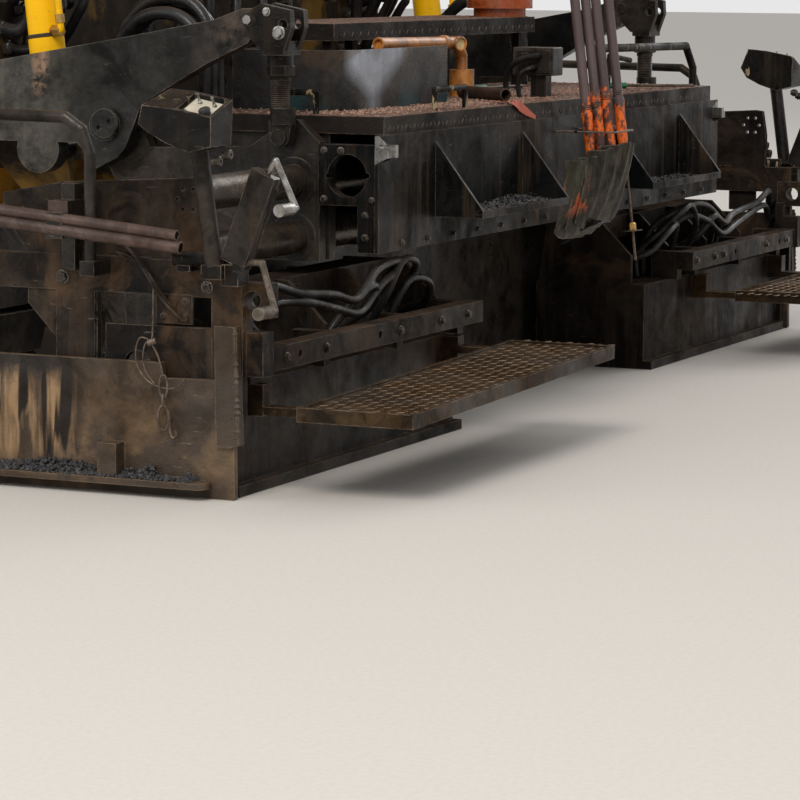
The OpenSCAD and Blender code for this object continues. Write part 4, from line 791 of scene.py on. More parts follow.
def gate_chain():
    """Twisted wire, chain and hook that hang against the left gate."""
    y = 2.431
    b = Build()

    def bar(r, sides, off, path):
        b.tube(curve([(x, y + off, z) for x, z in path]), r, sides)

    bar(0.0026, 7, 0, ((-2.575, 0.560), (-2.575, 0.531), (-2.574, 0.48), (-2.572, 0.434),
                       (-2.569, 0.415), (-2.58, 0.395), (-2.590, 0.376), (-2.600, 0.345),
                       (-2.604, 0.325)))
    bar(0.0022, 7, 0, ((-2.569, 0.418), (-2.545, 0.427), (-2.530, 0.421), (-2.521, 0.388),
                       (-2.526, 0.350), (-2.550, 0.316), (-2.584, 0.298), (-2.623, 0.293),
                       (-2.650, 0.300), (-2.671, 0.324)))
    bar(0.0022, 7, 0.006, ((-2.574, 0.424), (-2.553, 0.41), (-2.546, 0.37), (-2.556, 0.335),
                           (-2.58, 0.305)))
    for k in range(4):
        b.turned((-2.582 + 0.006 * k, y, 0.420 - 0.002 * k), (1, 0.2, -0.3),
                 [(0, 0.009), (0.0035, 0.010), (0.006, 0.008)], 10)
    # long link, short link turned edge on, and ring: height, half sizes, bar radius and turn
    for z, wide, high, r, edge_on in ((0.299, 0.0125, 0.030, 0.0032, 0),
                                      (0.262, 0.006, 0.016, 0.003, 1),
                                      (0.213, 0.0165, 0.034, 0.004, 0)):
        link = []
        for t in (2 * math.pi * i / 20 for i in range(20)):
            u = wide * math.cos(t)
            link.append((-2.606 + u * (1 - edge_on), y + 0.002 + u * edge_on,
                         z + high * math.sin(t)))
        b.tube(link, r, 7, True)
    bar(0.0042, 8, 0, ((-2.616, 0.236), (-2.622, 0.215), (-2.624, 0.19), (-2.628, 0.168),
                       (-2.636, 0.160), (-2.644, 0.168), (-2.642, 0.182)))
    b.make("gate_chain", "extension_left", "worn_steel", "wire")


def control_boxes():
    """Switch panel under the rim of each box, with two toggles and a knob."""
    for side, s in SIDES:
        body = "extension_" + side

        def at(x, y, up=0.0):
            return Vector((x, y * s, 1.033 - (-2.689 - x) * 0.18 + (2.53 - y) * 0.35 + up))

        b = Build()
        b.prism([at(-2.704, 2.522), at(-2.792, 2.522), at(-2.792, 2.424), at(-2.704, 2.424)],
                Z * 0.003)
        b.make("switch_panel_" + side, body, "chrome_rod", "panel")
        b = Build()
        up = Vector((0.18, s * 0.35, 1)).normalized()
        for x in (-2.727, -2.770):
            b.turned(at(x, 2.447, 0.002), up, [(0, 0.006), (0.006, 0.006), (0.008, 0.004),
                                               (0.022, 0.0028), (0.026, 0.0042), (0.030, 0.003)],
                     12)
        b.turned(at(-2.712, 2.508, 0.002), up, [(0, 0.006), (0.004, 0.006), (0.006, 0.004)], 12)
        b.make("switches_" + side, body, "chrome_rod", "bright")
        b = Build()
        b.turned(at(-2.770, 2.500, 0.002), up, [(0, 0.015), (0.008, 0.015), (0.010, 0.017),
                                                (0.017, 0.016), (0.020, 0.012)], 20)
        b.make("knob_" + side, body, "black_rubber", "plastic")
        b = Build()
        for y, z in ((2.44, 0.925), (2.50, 0.910)):
            b.turned((-2.790, y * s, z), -X, [(0, 0.010), (0.006, 0.010), (0.007, 0.014),
                                              (0.022, 0.014), (0.025, 0.011), (0.025, 0.005),
                                              (0.015, 0.004)])
        b.make("box_knobs_" + side, body, "dark_steel", "worn")


def rail_details():
    for side, s in SIDES:
        spare_tubes(side, s)
        hook_bar(side, s)


def spare_tubes(side, s):
    """The two bare tubes that lie on a handrail, open at their rear ends, with a near-black disc a
    few millimetres inside each mouth as painted shade for the hollow.
    """
    b, shade_discs = Build(), Build()
    for up, rear, r in ((0.0, -2.694, 0.0172), (0.0315, -2.682, 0.0150)):
        def on_bar(x):
            return Vector((x, RAIL_Y * s, 0.776 + up + (x + 1.64) * 0.0925))

        along = (on_bar(-2) - on_bar(-1)).normalized()
        start = on_bar(-1.632)
        length = (on_bar(rear) - start).length
        b.turned(start, along, [(0, r - 0.001), (0.001, r), (length - 0.001, r),
                                (length, r - 0.001), (length, r - 0.0035),
                                (length - 0.004, r - 0.004)], 22)
        # Painted shade: a near-black disc on the cap just inside each mouth.
        shade_discs.turned(on_bar(rear) - along * 0.0045, along,
                      [(0, r - 0.0038), (0.001, r - 0.004)], 22)
    b.make("spare_tubes_" + side, "extension_" + side, "rusty_steel", "tube")
    shade_discs.make("tube_mouth_shades_" + side, "extension_" + side, "dark_steel", "dark")


def hook_bar(side, s):
    """Bent flat bar over a beam's side, rod beside it, and their plate with its bolts."""
    b = Build()
    path = curve([(-2.452, EXT_OUT + 0.0005, 0.642), (-2.50, 2.396, 0.632),
                  (-2.535, 2.400, 0.605), (-2.565, 2.400, 0.565), (-2.600, 2.396, 0.522)])
    w = Vector((0.030, 0, 0.020))
    b.loft([[q + w * i + Y * (j * s) for i, j in ((-0.5, 0), (0.5, 0), (0.5, 0.004),
                                                  (-0.5, 0.004))] for q in mirrored(path, s)])
    b.tube(mirrored(curve([
        (-2.43, 2.396, 0.70), (-2.49, 2.402, 0.655), (-2.53, 2.405, 0.61),
        (-2.585, 2.402, 0.53), (-2.645, 2.398, 0.476), (-2.66, 2.394, 0.480)]), s), 0.0045, 7)
    b.plate((-2.672, -2.560), (2.3815, 2.3905), (0.462, 0.545), s, 0.002)
    for x, z in ((-2.652, 0.482), (-2.585, 0.482), (-2.652, 0.525)):
        b.bolt((x, 2.390 * s, z), Y * s, 0.0075)
    b.make("hook_bar_" + side, "extension_" + side, "dark_steel", "beam")


def shovels():
    """Four square-mouthed shovels in their hoop, blades down, on a foot plate; the foot plate and a
    bar across the hoop are near black as painted shade.
    """
    lean = math.radians(7.2)
    up = Vector((math.sin(lean), 0, math.cos(lean)))
    handles, blades, wires = Build(), Build(), Build()
    # low end of each handle, and its turn to the side in degrees
    for *low, yaw in ((-2.916, 0.065, 0.796, -14), (-2.940, 0.035, 0.806, -12),
                      (-2.964, 0.013, 0.828, -10), (-2.988, -0.033, 0.843, -8)):
        at = Vector(low)
        handles.turned(at, up, [(-0.030, 0.007), (-0.012, 0.014), (0.01, 0.0172), (0.13, 0.0175),
                                (0.135, 0.0192), (0.150, 0.0192), (0.152, 0.016), (0.9, 0.016),
                                (0.908, 0.019), (0.918, 0.017), (0.920, 0.008)], 20)
        shovel_blade(blades, at + Vector((-0.015, 0, 0.004)),
                     Matrix.Rotation(math.radians(yaw), 3, "Z"))
        for k in (0.162, 0.168, 0.174):
            wires.turned(at + up * k, up, [(-0.002, 0.0163), (0, 0.0182), (0.002, 0.0163)])
    made = handles.make("shovel_handles", "screed", "shovel_wood", "shovel", 50)
    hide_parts("shovels")
    blades.make("shovel_blades", "screed", "shovel_wood", "blade", 50)
    hoop = ((-2.8103, 0.116), (-2.996, 0.116), (-3.008, 0.104), (-3.008, -0.069),
            (-2.996, -0.081), (-2.8103, -0.081))
    wires.tube([(x, y, 0.886) for x, y in hoop], 0.0034)
    wires.make("shovel_wires", "screed", "shovel_wood", "wire")
    # Painted shade: the foot plate and the bar across the hoop are near black.
    b = Build()
    b.tube([(-2.881, -0.085, 0.886), (-2.881, 0.12, 0.886)], 0.005)
    foot = ((-2.796, 0.5907), (-2.796, 0.510), (-2.918, 0.586), (-2.915, 0.592),
            (-2.802, 0.5215), (-2.802, 0.5907))
    b.prism([(x, -0.03, z) for x, z in foot], Y * 0.07)
    b.make("shovel_foot", "screed", "shovel_wood", "dark")


def shovel_blade(b, at, turn):
    """Dished blade, hollow side forward, with a ridge below its handle and two flutes."""
    across, steps, long, half, thick = 26, 14, 0.286, 0.106, 0.0026
    rings, p = [], Z * 0.003
    for i in range(steps + 1):
        t = i / steps
        a = math.radians(8 + 22 * t)
        back = Vector((-math.cos(a), 0, -math.sin(a)))
        down = Vector((math.sin(a), 0, -math.cos(a)))
        skin = []
        for inset, order in ((0.0, range(across + 1)), (thick, range(across, -1, -1))):
            for j in order:
                u = -1 + 2 * j / across
                ridge = 0.012 * math.exp(-(u / 0.15) ** 2) * (1 - t) ** 1.2
                flute = 0.009 * math.exp(-((abs(u) - 0.52) / 0.13) ** 2) * (1 - t * 0.55)
                dish = 0.040 * u * u * (1 - 0.65 * t)
                slide = 0.016 * abs(u) * (1 - t) ** 4 - 0.020 * u ** 6 * t ** 5
                skin.append(at + turn @ (p + back * (ridge + flute - dish - inset) + down * slide
                                         + Y * (u * (half - 0.005 * t))))
        rings.append(skin)
        p = p + down * (long / steps)
    b.loft(rings)


def depth_rod():
    """Rod with a disc and a nut at its foot, for measuring the mat's depth."""
    y, axis = -0.35, (0.115, 0, 0.993)
    b = Build()
    b.tube([(-2.92, y, 0.434), (-2.806, y, 1.42)], 0.005, 10)
    b.block((-2.866, y - 0.007, 0.955), (-2.8003, y + 0.007, 0.967))
    b.turned((-2.9085, y, 0.533), axis, [(-0.0015, 0.031), (-0.0012, 0.033), (0.0012, 0.033),
                                         (0.0015, 0.031)], 28)
    b.make("depth_rod", "screed", "shovel_wood", "wire")
    b = Build()
    b.turned((-2.9082, y, 0.5355), axis, [(0.000, 0.0135), (0.020, 0.0135), (0.025, 0.009)], 6)
    b.make("depth_nut", "screed", "worn_steel", "brass")


def deck_tube():
    """Burnt open tube that lies across the deck, with a near-black disc inside its mouth as painted
    shade for the hollow.
    """
    start, end, r = Vector((-2.479, 0.121, 1.0068)), Vector((-2.698, 0.272, 1.0068)), 0.0207
    along, long = (end - start).normalized(), (end - start).length
    b = Build()
    b.turned(start, along, [(0, r - 0.001), (0.001, r), (long - 0.001, r), (long, r - 0.001),
                            (long, r - 0.004), (long - 0.03, r - 0.0045)], 24)
    b.make("deck_tube", "screed", "rusty_steel", "burnt")
    # Painted shade: a near-black disc on the cap about 30 mm inside the mouth.
    b = Build()
    b.turned(end - along * 0.029, along, [(0, r - 0.0048), (0.001, r - 0.005)], 24)
    b.make("deck_tube_mouth_shade", "screed", "dark_steel", "dark")


def deck_strap():
    """Flat strap that lies on the deck and hangs over its rear edge, narrower to its end."""
    path = curve([(-2.712, 0.378, 0.9895), (-2.755, 0.430, 0.9910), (-2.798, 0.452, 0.9900),
                  (-2.8065, 0.420, 0.978), (-2.8065, 0.370, 0.962), (-2.8065, 0.330, 0.950),
                  (-2.8065, 0.282, 0.936)])
    n = len(path) - 1
    rings = []
    for i, q in enumerate(path):
        t = i / n
        run = (path[min(i + 1, n)] - path[max(i - 1, 0)]).normalized()
        face = Z.lerp(-X, min(1, max(0, t * 2.6 - 0.4)))
        w = face.cross(run).normalized()
        up = w.cross(run).normalized() * 0.0008
        w = w * (0.017 - 0.012 * t ** 3)
        rings.append([q - w - up, q + w - up, q + w + up, q - w + up])
    b = Build()
    b.loft(rings)
    strap = b.make("strap", "screed", "orange_paint", "red")


def tools():
    """Two rods with green grips on the far half of the deck."""
    rods, grips = Build(), Build()
    for x0, y0, x1, y1 in ((-2.292, -0.366, -2.334, -0.620), (-2.560, -0.885, -2.690, -0.975)):
        at = Vector((x0, y0, 0.9975))
        along = (Vector((x1, y1, 0.9975)) - at).normalized()
        grips.turned(at, along, [(0, 0.008), (0.003, 0.0115), (0.02, 0.0105), (0.10, 0.0115),
                                 (0.105, 0.0105), (0.112, 0.0115), (0.116, 0.008)])
        rods.turned(at, along, [(0.113, 0.005), (0.36, 0.005), (0.362, 0.004)], 10)
    grips.make("tool_grips", "screed", "black_rubber", "green")
    rods.make("tool_rods", "screed", "worn_steel", "wire")


def valve_box():
    """Valve box on its post, and the two hoses that lead from it into the deck."""
    b = Build()
    b.block((-2.720, -0.17, 1.057), (-2.575, -0.08, 1.150), 0.003)
    b.block((-2.688, -0.15, 0.986), (-2.632, -0.10, 1.060), 0.002)
    b.block((-2.712, -0.0805, 1.065), (-2.583, -0.076, 1.142), 0.002)
    b.make("valve_box", "screed", "dark_steel", "oily")
    b = Build()
    b.tube(curve([(-2.672, -0.085, 1.122), (-2.668, -0.05, 1.122), (-2.629, -0.030, 1.113),
                  (-2.593, -0.030, 1.089), (-2.573, -0.035, 1.055), (-2.569, -0.040, 1.022),
                  (-2.580, -0.045, 0.985)], 8), 0.0098, 12)
    b.tube(curve([(-2.660, -0.085, 1.084), (-2.654, -0.055, 1.083), (-2.622, -0.045, 1.065),
                  (-2.608, -0.050, 1.029), (-2.612, -0.055, 0.985)], 8), 0.0085, 12)
    b.make("valve_hoses", "screed", "black_rubber", "rubber")


def lance_fittings():
    """Open mouth of the burner lance, turned to the rear, and the collars on its pipe."""
    at, out = Vector((-2.385, -0.010, 1.163)), Vector((-0.86, 0.50, -0.05)).normalized()
    b = Build()
    b.turned(at, out, [(0, 0.016), (0.010, 0.0215), (0.030, 0.0215), (0.036, 0.0245),
                       (0.052, 0.0245), (0.054, 0.0230), (0.054, 0.0195), (0.045, 0.0185)], 24)
    b.turned((-2.4, 0.594, 1.172), Y, [(-0.004, 0.0195), (0.012, 0.0215), (0.016, 0.0205),
                                       (0.016, 0.0145), (0.004, 0.013)], 22)
    b.turned((-2.4, 0.09, 1.1665), Y, [(-0.016, 0.021), (-0.012, 0.0235), (0.012, 0.0235),
                                       (0.016, 0.021)], 20)
    b.make("lance_fittings", "screed", "orange_paint", "lance")
    b = Build()
    b.turned(at + out * 0.0455, out, [(0, 0.0186), (0.001, 0.0184)], 24)
    b.make("lance_mouth", "screed", "orange_paint", "pale")


def tray_dirt():
    """Crumbs in the hood's trays, heaped in the left one, and grit all over the deck."""
    rnd = random.Random(5)
    for side, s in SIDES:
        count, crowd, heap = (900, 1.3, 1) if s > 0 else (300, 1, 0.2)
        places = []
        for _ in range(count):
            y = 0.40 + 0.67 * rnd.random() ** crowd
            x = -2.814 - 0.135 * rnd.random() ** 1.5
            hill = 0.028 * max(0, 1 - abs(y - 0.55) / 0.30) * max(0, 1 - (-2.81 - x) / 0.15)
            places.append((x, y * s, TRAY_FLOOR + hill * rnd.random() * heap))
        b = Build()
        b.crumbs(places, 31, 0.0065)
        b.make("tray_crumbs_" + side, "screed", "track_pads", "asphalt")
    places = []
    for _ in range(5200):
        x, y = rnd.uniform(-2.79, -2.05), rnd.uniform(-1.42, 1.42)
        if rnd.random() < 0.45:
            x = rnd.uniform(-2.72, -2.50)
        places.append((x, y, DECK_TOP + 0.002))
    b = Build()
    b.crumbs(places, 33, 0.0034)
    b.make("deck_crumbs", "screed", "track_pads", "grit")


# Seats

def pad_shape(size, channels, cross, bolster):
    """The crowned pad's surface, as a function of a point of a cube from -1 to 1."""
    a, w, h = size
    k = 0.30

    def shape(u, v, t):
        x = a / 2 * u * math.sqrt(1 - k * v * v / 2) * (1 - 0.035 * (1 - v * v))
        y = w / 2 * v * math.sqrt(1 - k * u * u / 2) * (1 - 0.030 * (1 - u * u))
        top = h * (0.66 + 0.34 * (1 - u ** 4) * (1 - v ** 4))
        if bolster:
            top += bolster * (min(1, max(0, (abs(v) - 0.55) / 0.2)) * (1 - u ** 6) - 0.6)
        for c in channels:
            top -= 0.011 * math.exp(-((v - c) / 0.035) ** 2) * (1 - u ** 8)
        for c in cross:
            top -= 0.011 * math.exp(-((u - c) / 0.035) ** 2) * (1 - v ** 8)
        if max(abs(u), abs(v)) > 0.999 and abs(t) < 0.999:
            f = 1 + 0.02 * (1 - t * t)
            x, y = x * f, y * f
        return Vector((x, y, (t + 1) / 2 * top))

    return shape


def cushion(name, body, place, size, channels=(), cross=(), bolster=0.0, cap=0.01):
    """Padded piece with piping: place is a matrix from its own frame, where z = 0 is its base."""
    shape = pad_shape(size, channels, cross, bolster)
    bm = bmesh.new()
    bmesh.ops.create_cube(bm, size=2)
    bmesh.ops.subdivide_edges(bm, edges=bm.edges[:], cuts=23, use_grid_fill=True)
    for vert in bm.verts:
        vert.co = shape(*vert.co)
    mesh = bpy.data.meshes.new(name)
    bm.to_mesh(mesh)
    bm.free()
    obj = bpy.data.objects.new(name, mesh)
    bpy.context.scene.collection.objects.link(obj)
    puff(obj, cap)
    for vert in mesh.vertices:
        vert.co.z = max(vert.co.z, 0.0)
    mesh.transform(place)
    soften(mesh)
    mesh.materials.append(MAT["cover"])
    smooth_once(obj, "smooth")
    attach(obj, body)
    # piping sewn along the upper edge
    edge = [-1 + i / 10 for i in range(20)]
    rim = [(1, e) for e in edge] + [(-e, 1) for e in edge] + [(-1, -e) for e in edge] \
        + [(e, -1) for e in edge]
    b = Build()
    b.tube([place @ (shape(u, v, 0.86) + Vector((0.004 * u, 0.004 * v, 0))) for u, v in rim],
           0.0035, 6, True)
    b.make(name + "_piping", body, "seat_cover", "cover", 60)
    return obj


def puff(obj, cap):
    """Cloth under a little pressure, its result kept within cap of the modelled shape."""
    scene = bpy.context.scene
    frames = 20
    rest = [v.co.copy() for v in obj.data.vertices]
    mod = obj.modifiers.new("cloth", "CLOTH")
    mod.settings.use_pressure = True
    mod.settings.uniform_pressure_force = 4
    mod.settings.effector_weights.gravity = 0
    mod.settings.quality = 5
    mod.point_cache.frame_start = 1
    mod.point_cache.frame_end = frames
    for f in range(1, frames + 1):
        scene.frame_set(f)
    held = obj.evaluated_get(bpy.context.evaluated_depsgraph_get())
    moved = [v.co.copy() for v in held.to_mesh().vertices]
    held.to_mesh_clear()
    obj.modifiers.remove(mod)
    scene.frame_set(1)
    for vert, r, m in zip(obj.data.vertices, rest, moved):
        d = m - r
        vert.co = r + (d if d.length <= cap else d * (cap / d.length))


def seats():
    """Both seats: frame with its shell and arm rests, cushion, back and arm pads."""
    for side, s in SIDES:
        body = "seat_" + side
        o = Vector((0, 0.88 * s, 1.9203))
        b = Build()
        b.turned(o + X * -0.9, Z, [(0, 0.09), (0.012, 0.09), (0.016, 0.07), (0.044, 0.07),
                                   (0.048, 0.085), (0.06, 0.085)], 32)
        for lo, hi, chamfer in (((-1.14, -0.225, 0.058), (-0.67, 0.225, 0.088), 0.006),
                                ((-1.10, -0.19, 0.044), (-0.71, -0.15, 0.06), 0.004),
                                ((-1.10, 0.15, 0.044), (-0.71, 0.19, 0.06), 0.004)):
            b.block(o + Vector(lo), o + Vector(hi), chamfer)
        lean = Matrix.Translation(o + Vector((-1.12, 0, 0.15))) @ Matrix.Rotation(
            math.radians(-10), 4, "Y")
        shell = ((-0.215, 0.0), (0.215, 0.0), (0.225, 0.40), (0.19, 0.56), (0.12, 0.605),
                 (-0.12, 0.605), (-0.19, 0.56), (-0.225, 0.40))
        b.prism([lean @ Vector((-0.045, y, z)) for y, z in shell], lean.to_3x3() @ (X * 0.018))
        for y in (-0.1, 0.1):
            b.tube(curve([o + Vector((-1.13, y, 0.075)), o + Vector((-1.165, y, 0.10)),
                          lean @ Vector((-0.046, y, 0.06)), lean @ Vector((-0.046, y, 0.2))]), 0.012)
        for t in (-1, 1):
            b.tube(curve([o + Vector((x, y * t, z)) for x, y, z in (
                (-1.10, 0.23, 0.085), (-1.10, 0.232, 0.2), (-1.095, 0.232, 0.29),
                (-1.06, 0.232, 0.313), (-0.86, 0.232, 0.315))]), 0.011)
        b.make("seat_frame_" + side, body, "seat_cover", "plastic")
        base = Matrix.Translation(o + Vector((-0.905, 0, 0.088)))
        seat = cushion("seat_cushion_" + side, body, base, (0.45, 0.435, 0.095), (-0.5, 0.5),
                       (0.35,), 0.012)
        back = lean @ Matrix.Translation((-0.026, 0, 0.325)) @ Matrix.Rotation(
            math.radians(90), 4, "Y")
        cushion("seat_back_" + side, body, back, (0.53, 0.42, 0.068), (-0.5, 0.5), (-0.3, 0.3),
                0.010)
        for t, tag in ((-1, "a"), (1, "b")):
            at = Matrix.Translation(o + Vector((-0.945, t * 0.225, 0.322)))
            cushion("arm_pad_%s_%s" % (side, tag), body, at, (0.28, 0.046, 0.028), cap=0.003)
        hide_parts("seat_" + side)


# Tractor

def lamps():
    """Four lamps under the canopy's edges."""
    for side, s in SIDES[::-1]:
        for end, x, out in (("rear_", -1.778, -1), ("front_", 0.258, 1)):
            b = Build()
            b.turned((x - out * 0.03, 1.2 * s, 3.45), X * out, [
                (0, 0.069), (0.028, 0.070), (0.033, 0.067), (0.033, 0.058), (0.029, 0.056)], 36)
            b.make("lamp_rim_" + end + side, "tractor", "black_rubber", "plastic")
            b = Build()
            b.turned((x, 1.2 * s, 3.45), X * out, [
                (0.0004, 0.057), (0.003, 0.055), (0.006, 0.045), (0.008, 0.02), (0.0083, 0.004)],
                36)
            b.make("lamp_lens_" + end + side, "tractor", "chrome_rod", "lens")


def link_places(base, rear, r, pitch):
    """Place in x and z and turn of each link round a track."""
    rm = r - 0.011
    run, turn = round(base / pitch), round(math.pi * rm / pitch)
    for half, flip in ((0, 1), (math.pi, -1)):
        for i in range(run + turn):
            t = max(0, i - run) / turn * math.pi
            x = min(i, run) * base / run - base / 2 + rm * math.sin(t)
            yield rear + base / 2 + flip * x, r - flip * rm * math.cos(t), t + half


def tracks():
    """Pins of the links and bolts of the hubs."""
    base, rear, r = 2.560, -1.130, 0.350
    for side, s in SIDES:
        b = Build()
        for x, z, t in link_places(base, rear, r, 0.150):
            sin, cos = math.sin(t), math.cos(t)
            for e in (-1, 1):
                at = Vector((x, (1.27 + e * 0.11) * s, z)) + Vector((-sin, 0, cos)) * 0.032
                b.turned(at, Y * (e * s), [(-0.001, 0.017), (0.004, 0.017), (0.006, 0.014)], 12)
                b.turned(at + Vector((cos, 0, sin)) * 0.05, Y * (e * s),
                         [(-0.001, 0.010), (0.004, 0.010), (0.006, 0.008)], 8)
        b.make("track_pins_" + side, "tractor", "worn_steel", "worn")
        b = Build()
        for x in (rear, rear + base):
            b.turned((x, 1.37 * s, r), Y * s, [(-0.002, 0.026), (0.012, 0.026), (0.016, 0.021)],
                     20)
            for count, phase, circle, y, size in ((8, 0, 0.045, 1.37, 0.008),
                                                  (12, 0.5, 0.255, 1.33, 0.009)):
                for a in (2 * math.pi * (k + phase) / count for k in range(count)):
                    b.bolt((x + circle * math.cos(a), y * s, r + circle * math.sin(a)), Y * s,
                           size)
        b.make("track_hub_bolts_" + side, "tractor", "dark_steel", "bright")


def housing_details():
    """Louvres, latches, bolts and hatches on the engine's housing and the tanks."""
    for side, s in SIDES:
        out = Y * s
        b = Build()
        for z in (1.150 + i * 0.062 for i in range(9)):
            b.prism([(0.202, y * s, z + up) for y, up in (
                (1.0805, 0.001), (1.0805, 0.004), (1.064, 0.0255), (1.064, 0.0225))], X * 0.696)
        b.make("louvres_" + side, "tractor", "paint_yellow", "yellow", 0)
        b = Build()
        for x in (0.05, 1.02):
            b.plate((x - 0.035, x + 0.035), (HOUSING_OUT, 1.094), (1.50, 1.62), s, 0.006)
            b.turned((x, 1.092 * s, 1.56), out, [(0, 0.013), (0.010, 0.012), (0.013, 0.006)])
        for x in (0.02, 0.40, 0.75, 1.06):
            for z in (1.885, 1.01):
                b.bolt((x, 1.08 * s, z), out, 0.009)
        b.make("latches_" + side, "tractor", "dark_steel", "bright")
        b = Build()
        b.plate((-1.10, -0.50), (1.399, 1.406), (0.98, 1.42), s)
        b.plate((-0.02, 0.16), (1.0795, 1.0855), (1.70, 1.86), s)
        b.make("hatch_" + side, "tractor", "paint_yellow", "yellow")
        b = Build()
        for columns, rows, y, r in (((-1.07, -0.8, -0.53), (1.01, 1.39), 1.406, 0.008),
                                    ((1.03, 1.17), (0.81, 0.86), 1.485, 0.012)):
            for x in columns:
                for z in rows:
                    b.bolt((x, y * s, z), out, r)
        b.make("hatch_bolts_" + side, "tractor", "dark_steel", "bright")


def exhaust():
    """Lips at the pipe's mouth and foot, and the jacket round the silencer."""
    b = Build()
    b.turned((*EXHAUST_AT, 2.56), Z, [(0.0, 0.057), (0.02, 0.060), (0.024, 0.058),
                                      (0.024, 0.050), (-0.06, 0.050)], 32, False)
    b.turned((*EXHAUST_AT, 2.200), Z, [(0, 0.1), (0.012, 0.094), (0.03, 0.062), (0.034, 0.057)],
             36, False)
    b.make("exhaust_lips", "tractor", "dark_steel", "oily")
    b = Build()
    b.turned((*EXHAUST_AT, 1.97), Z, [(0, 0.1015), (0.21, 0.1015)], 36, False)
    b.make("exhaust_jacket", "tractor", "chrome_rod", "worn", 40)


def console_details():
    """Dials and a row of switches at both ends of the console's slope."""
    faces, rims, keys = Build(), Build(), Build()
    out, along = Vector((-0.18, 0, 0.39)).normalized(), Vector((0.39, 0, 0.18)).normalized()
    for middle in (-0.55, 0.55):
        for k in range(3):
            c = Vector((-0.30, middle + (k - 1) * 0.13, 2.3923)) + along * 0.05
            rims.turned(c, out, [(-0.002, 0.05), (0.009, 0.05), (0.010, 0.046), (0.006, 0.044)], 30)
            faces.turned(c, out, [(0.001, 0.044), (0.0045, 0.044)], 30)
        for k in range(8):
            c = Vector((-0.30, middle + (k - 3.5) * 0.05, 2.3923)) - along * 0.07
            keys.turned(c, out, [(-0.002, 0.013), (0.004, 0.013), (0.006, 0.010), (0.018, 0.004),
                                 (0.020, 0.002)], 14)
    faces.make("dial_faces", "tractor", "chrome_rod", "panel")
    rims.make("dial_rims", "tractor", "black_rubber", "plastic")
    keys.make("console_keys", "tractor", "black_rubber", "plastic")


def tractor_hoses():
    """Hoses on the tractor's rear face, with a fitting at each end of the outer ones."""
    hoses, fittings = Build(), Build()
    x, mid = -1.452, -1.4305
    for side, s in SIDES:
        for k in range(7):
            y = (1.10 + 0.035 * k) * s
            y1 = y + 0.02 * s
            z0, z1 = 1.10 + 0.06 * ((k * 5) % 4), 1.50 - 0.03 * (k % 3)
            out = 0.07 + 0.04 * ((k * 3) % 4)
            hoses.tube(curve([
                (x, y, z1), (x - out * 0.7, y, z1 - 0.02), (x - out, y + 0.01 * s, z1 - 0.14),
                (x - out * 0.9, y1, z0 + 0.1), (x - out * 0.5, y1, z0), (x, y1, z0)], 7),
                0.016 if k % 2 else 0.021, 9)
            for end in ((x + 0.0025, y, z1), (x + 0.0025, y1, z0)):
                fittings.turned(end, -X, [(-0.001, 0.024), (0.014, 0.024), (0.016, 0.02),
                                          (0.03, 0.02)], 6)
    for y in (-0.5 + 0.2 * k for k in range(6)):
        hoses.tube(curve([(mid, y, 1.42), (mid - 0.08, y, 1.40), (mid - 0.12, y + 0.03, 1.26),
                          (mid - 0.08, y + 0.05, 1.10), (mid, y + 0.05, 1.08)], 7), 0.018, 9)
    hoses.make("tractor_hoses", "tractor", "black_rubber", "rubber", 60)
    fittings.make("hose_fittings", "tractor", "dark_steel", "bright")


def lift_fittings():
    """Pipe, union and gland at each lift cylinder."""
    eye, pin, barrel = Vector((-1.714, 0, 0.868)), Vector((-1.604, 0, 1.750)), 0.606
    up = (pin - eye).normalized()
    for side, s in SIDES:
        base = Y * (1.435 * s) + eye + up * ((pin - eye).length - barrel)
        body = "barrel_" + side
        b = Build()
        b.turned(base, up, [(0.048, 0.0555), (0.050, 0.0575), (0.058, 0.0575), (0.060, 0.0555)], 40)
        b.make("cylinder_band_" + side, body, "paint_yellow", "oily")
        off = Vector((-0.052, 0.03 * s, 0))
        b = Build()
        b.tube(curve([base + up * rise + off * share for rise, share in (
            (0.07, 0.9), (0.07, 1.5), (0.12, 1.62), (0.3, 1.62), (0.46, 1.6), (0.52, 0.95))]),
            0.010, 10)
        b.make("cylinder_pipe_" + side, body, "paint_yellow", "cylinder")
        b = Build()
        b.turned(base + up * 0.07 + off * 0.85, off, [(0, 0.018), (0.028, 0.018), (0.034, 0.015),
                                                      (0.046, 0.015)], 6)
        b.turned(base + up * 0.095 + off * 1.6, up, [(0, 0.015), (0.026, 0.015)], 6)
        b.make("cylinder_union_" + side, body, "chrome_rod", "brass")


# Stage

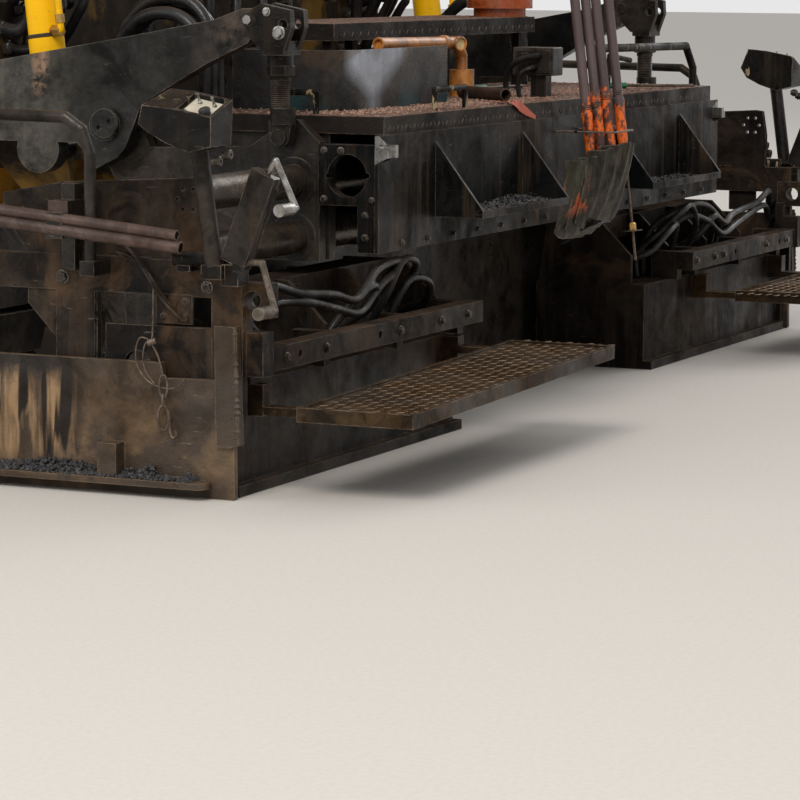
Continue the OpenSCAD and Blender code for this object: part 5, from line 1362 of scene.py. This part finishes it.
def make_world():
    """Even light, and a pale background that metal and glass show too."""
    world = bpy.data.worlds.new("studio")
    bpy.context.scene.world = world
    world.use_nodes = True
    tree = world.node_tree
    tree.nodes.clear()
    out = tree.nodes.new("ShaderNodeOutputWorld")
    path = tree.nodes.new("ShaderNodeLightPath")
    both = tree.nodes.new("ShaderNodeMixShader")
    for slot, color, strength in ((1, (0.93, 0.96, 1, 1), 0.6), (2, (1, 1, 1, 1), 0.8)):
        node = tree.nodes.new("ShaderNodeBackground")
        node.inputs[0].default_value = color
        node.inputs[1].default_value = strength
        tree.links.new(node.outputs[0], both.inputs[slot])
    shows = path.outputs["Is Camera Ray"]
    for kind in ("Is Glossy Ray", "Is Transmission Ray"):
        node = tree.nodes.new("ShaderNodeMath")
        node.operation = "MAXIMUM"
        tree.links.new(shows, node.inputs[0])
        tree.links.new(path.outputs[kind], node.inputs[1])
        shows = node.outputs[0]
    tree.links.new(shows, both.inputs[0])
    tree.links.new(both.outputs[0], out.inputs[0])


def make_floor():
    bpy.ops.mesh.primitive_plane_add(size=160, location=(0, 0, -0.001))
    floor = bpy.context.object
    floor.name = "floor"
    k = Look("floor", (0.66, 0.61, 0.55))
    k.lay((0.69, 0.64, 0.58), k.blots(0.4, 0.6, 70, 6))
    k.finish(0.9, 0.0, k.bump(k.noise(60), 0.1, 0.001))
    floor.data.materials.append(MAT["floor"])


def make_lamps():
    """Three large soft lamps that face the screed."""
    aim = Vector((-1.5, 0.5, 0.6))
    for name, place, size, power, color in (
            ("key", (-4.5, 12, 11), 7, 1100, (1, 0.97, 0.92)),
            ("fill", (8, 12, 7), 8, 300, (0.92, 0.96, 1)),
            ("back", (-6, -14, 10), 9, 450, (1, 1, 1))):
        data = bpy.data.lights.new(name, "AREA")
        data.shape = "DISK"
        data.size = size
        data.energy = power
        data.color = color
        lamp = bpy.data.objects.new(name, data)
        lamp.location = place
        lamp.rotation_euler = (aim - Vector(place)).to_track_quat("-Z", "Y").to_euler()
        bpy.context.scene.collection.objects.link(lamp)


for step in (make_camera, make_steels, make_fittings, make_shovel_paint, make_cover, make_lens,
             make_chrome, dress_frame, chequer, bolts, arm_details, gate_details, gate_chain,
             control_boxes, rail_details, shovels, depth_rod, deck_tube, deck_strap, tools, valve_box,
             lance_fittings, tray_dirt, seats, lamps, tracks, housing_details, exhaust,
             console_details, tractor_hoses, lift_fittings, make_world, make_floor, make_lamps):
    step()
bpy.context.scene.view_settings.view_transform = "Standard"
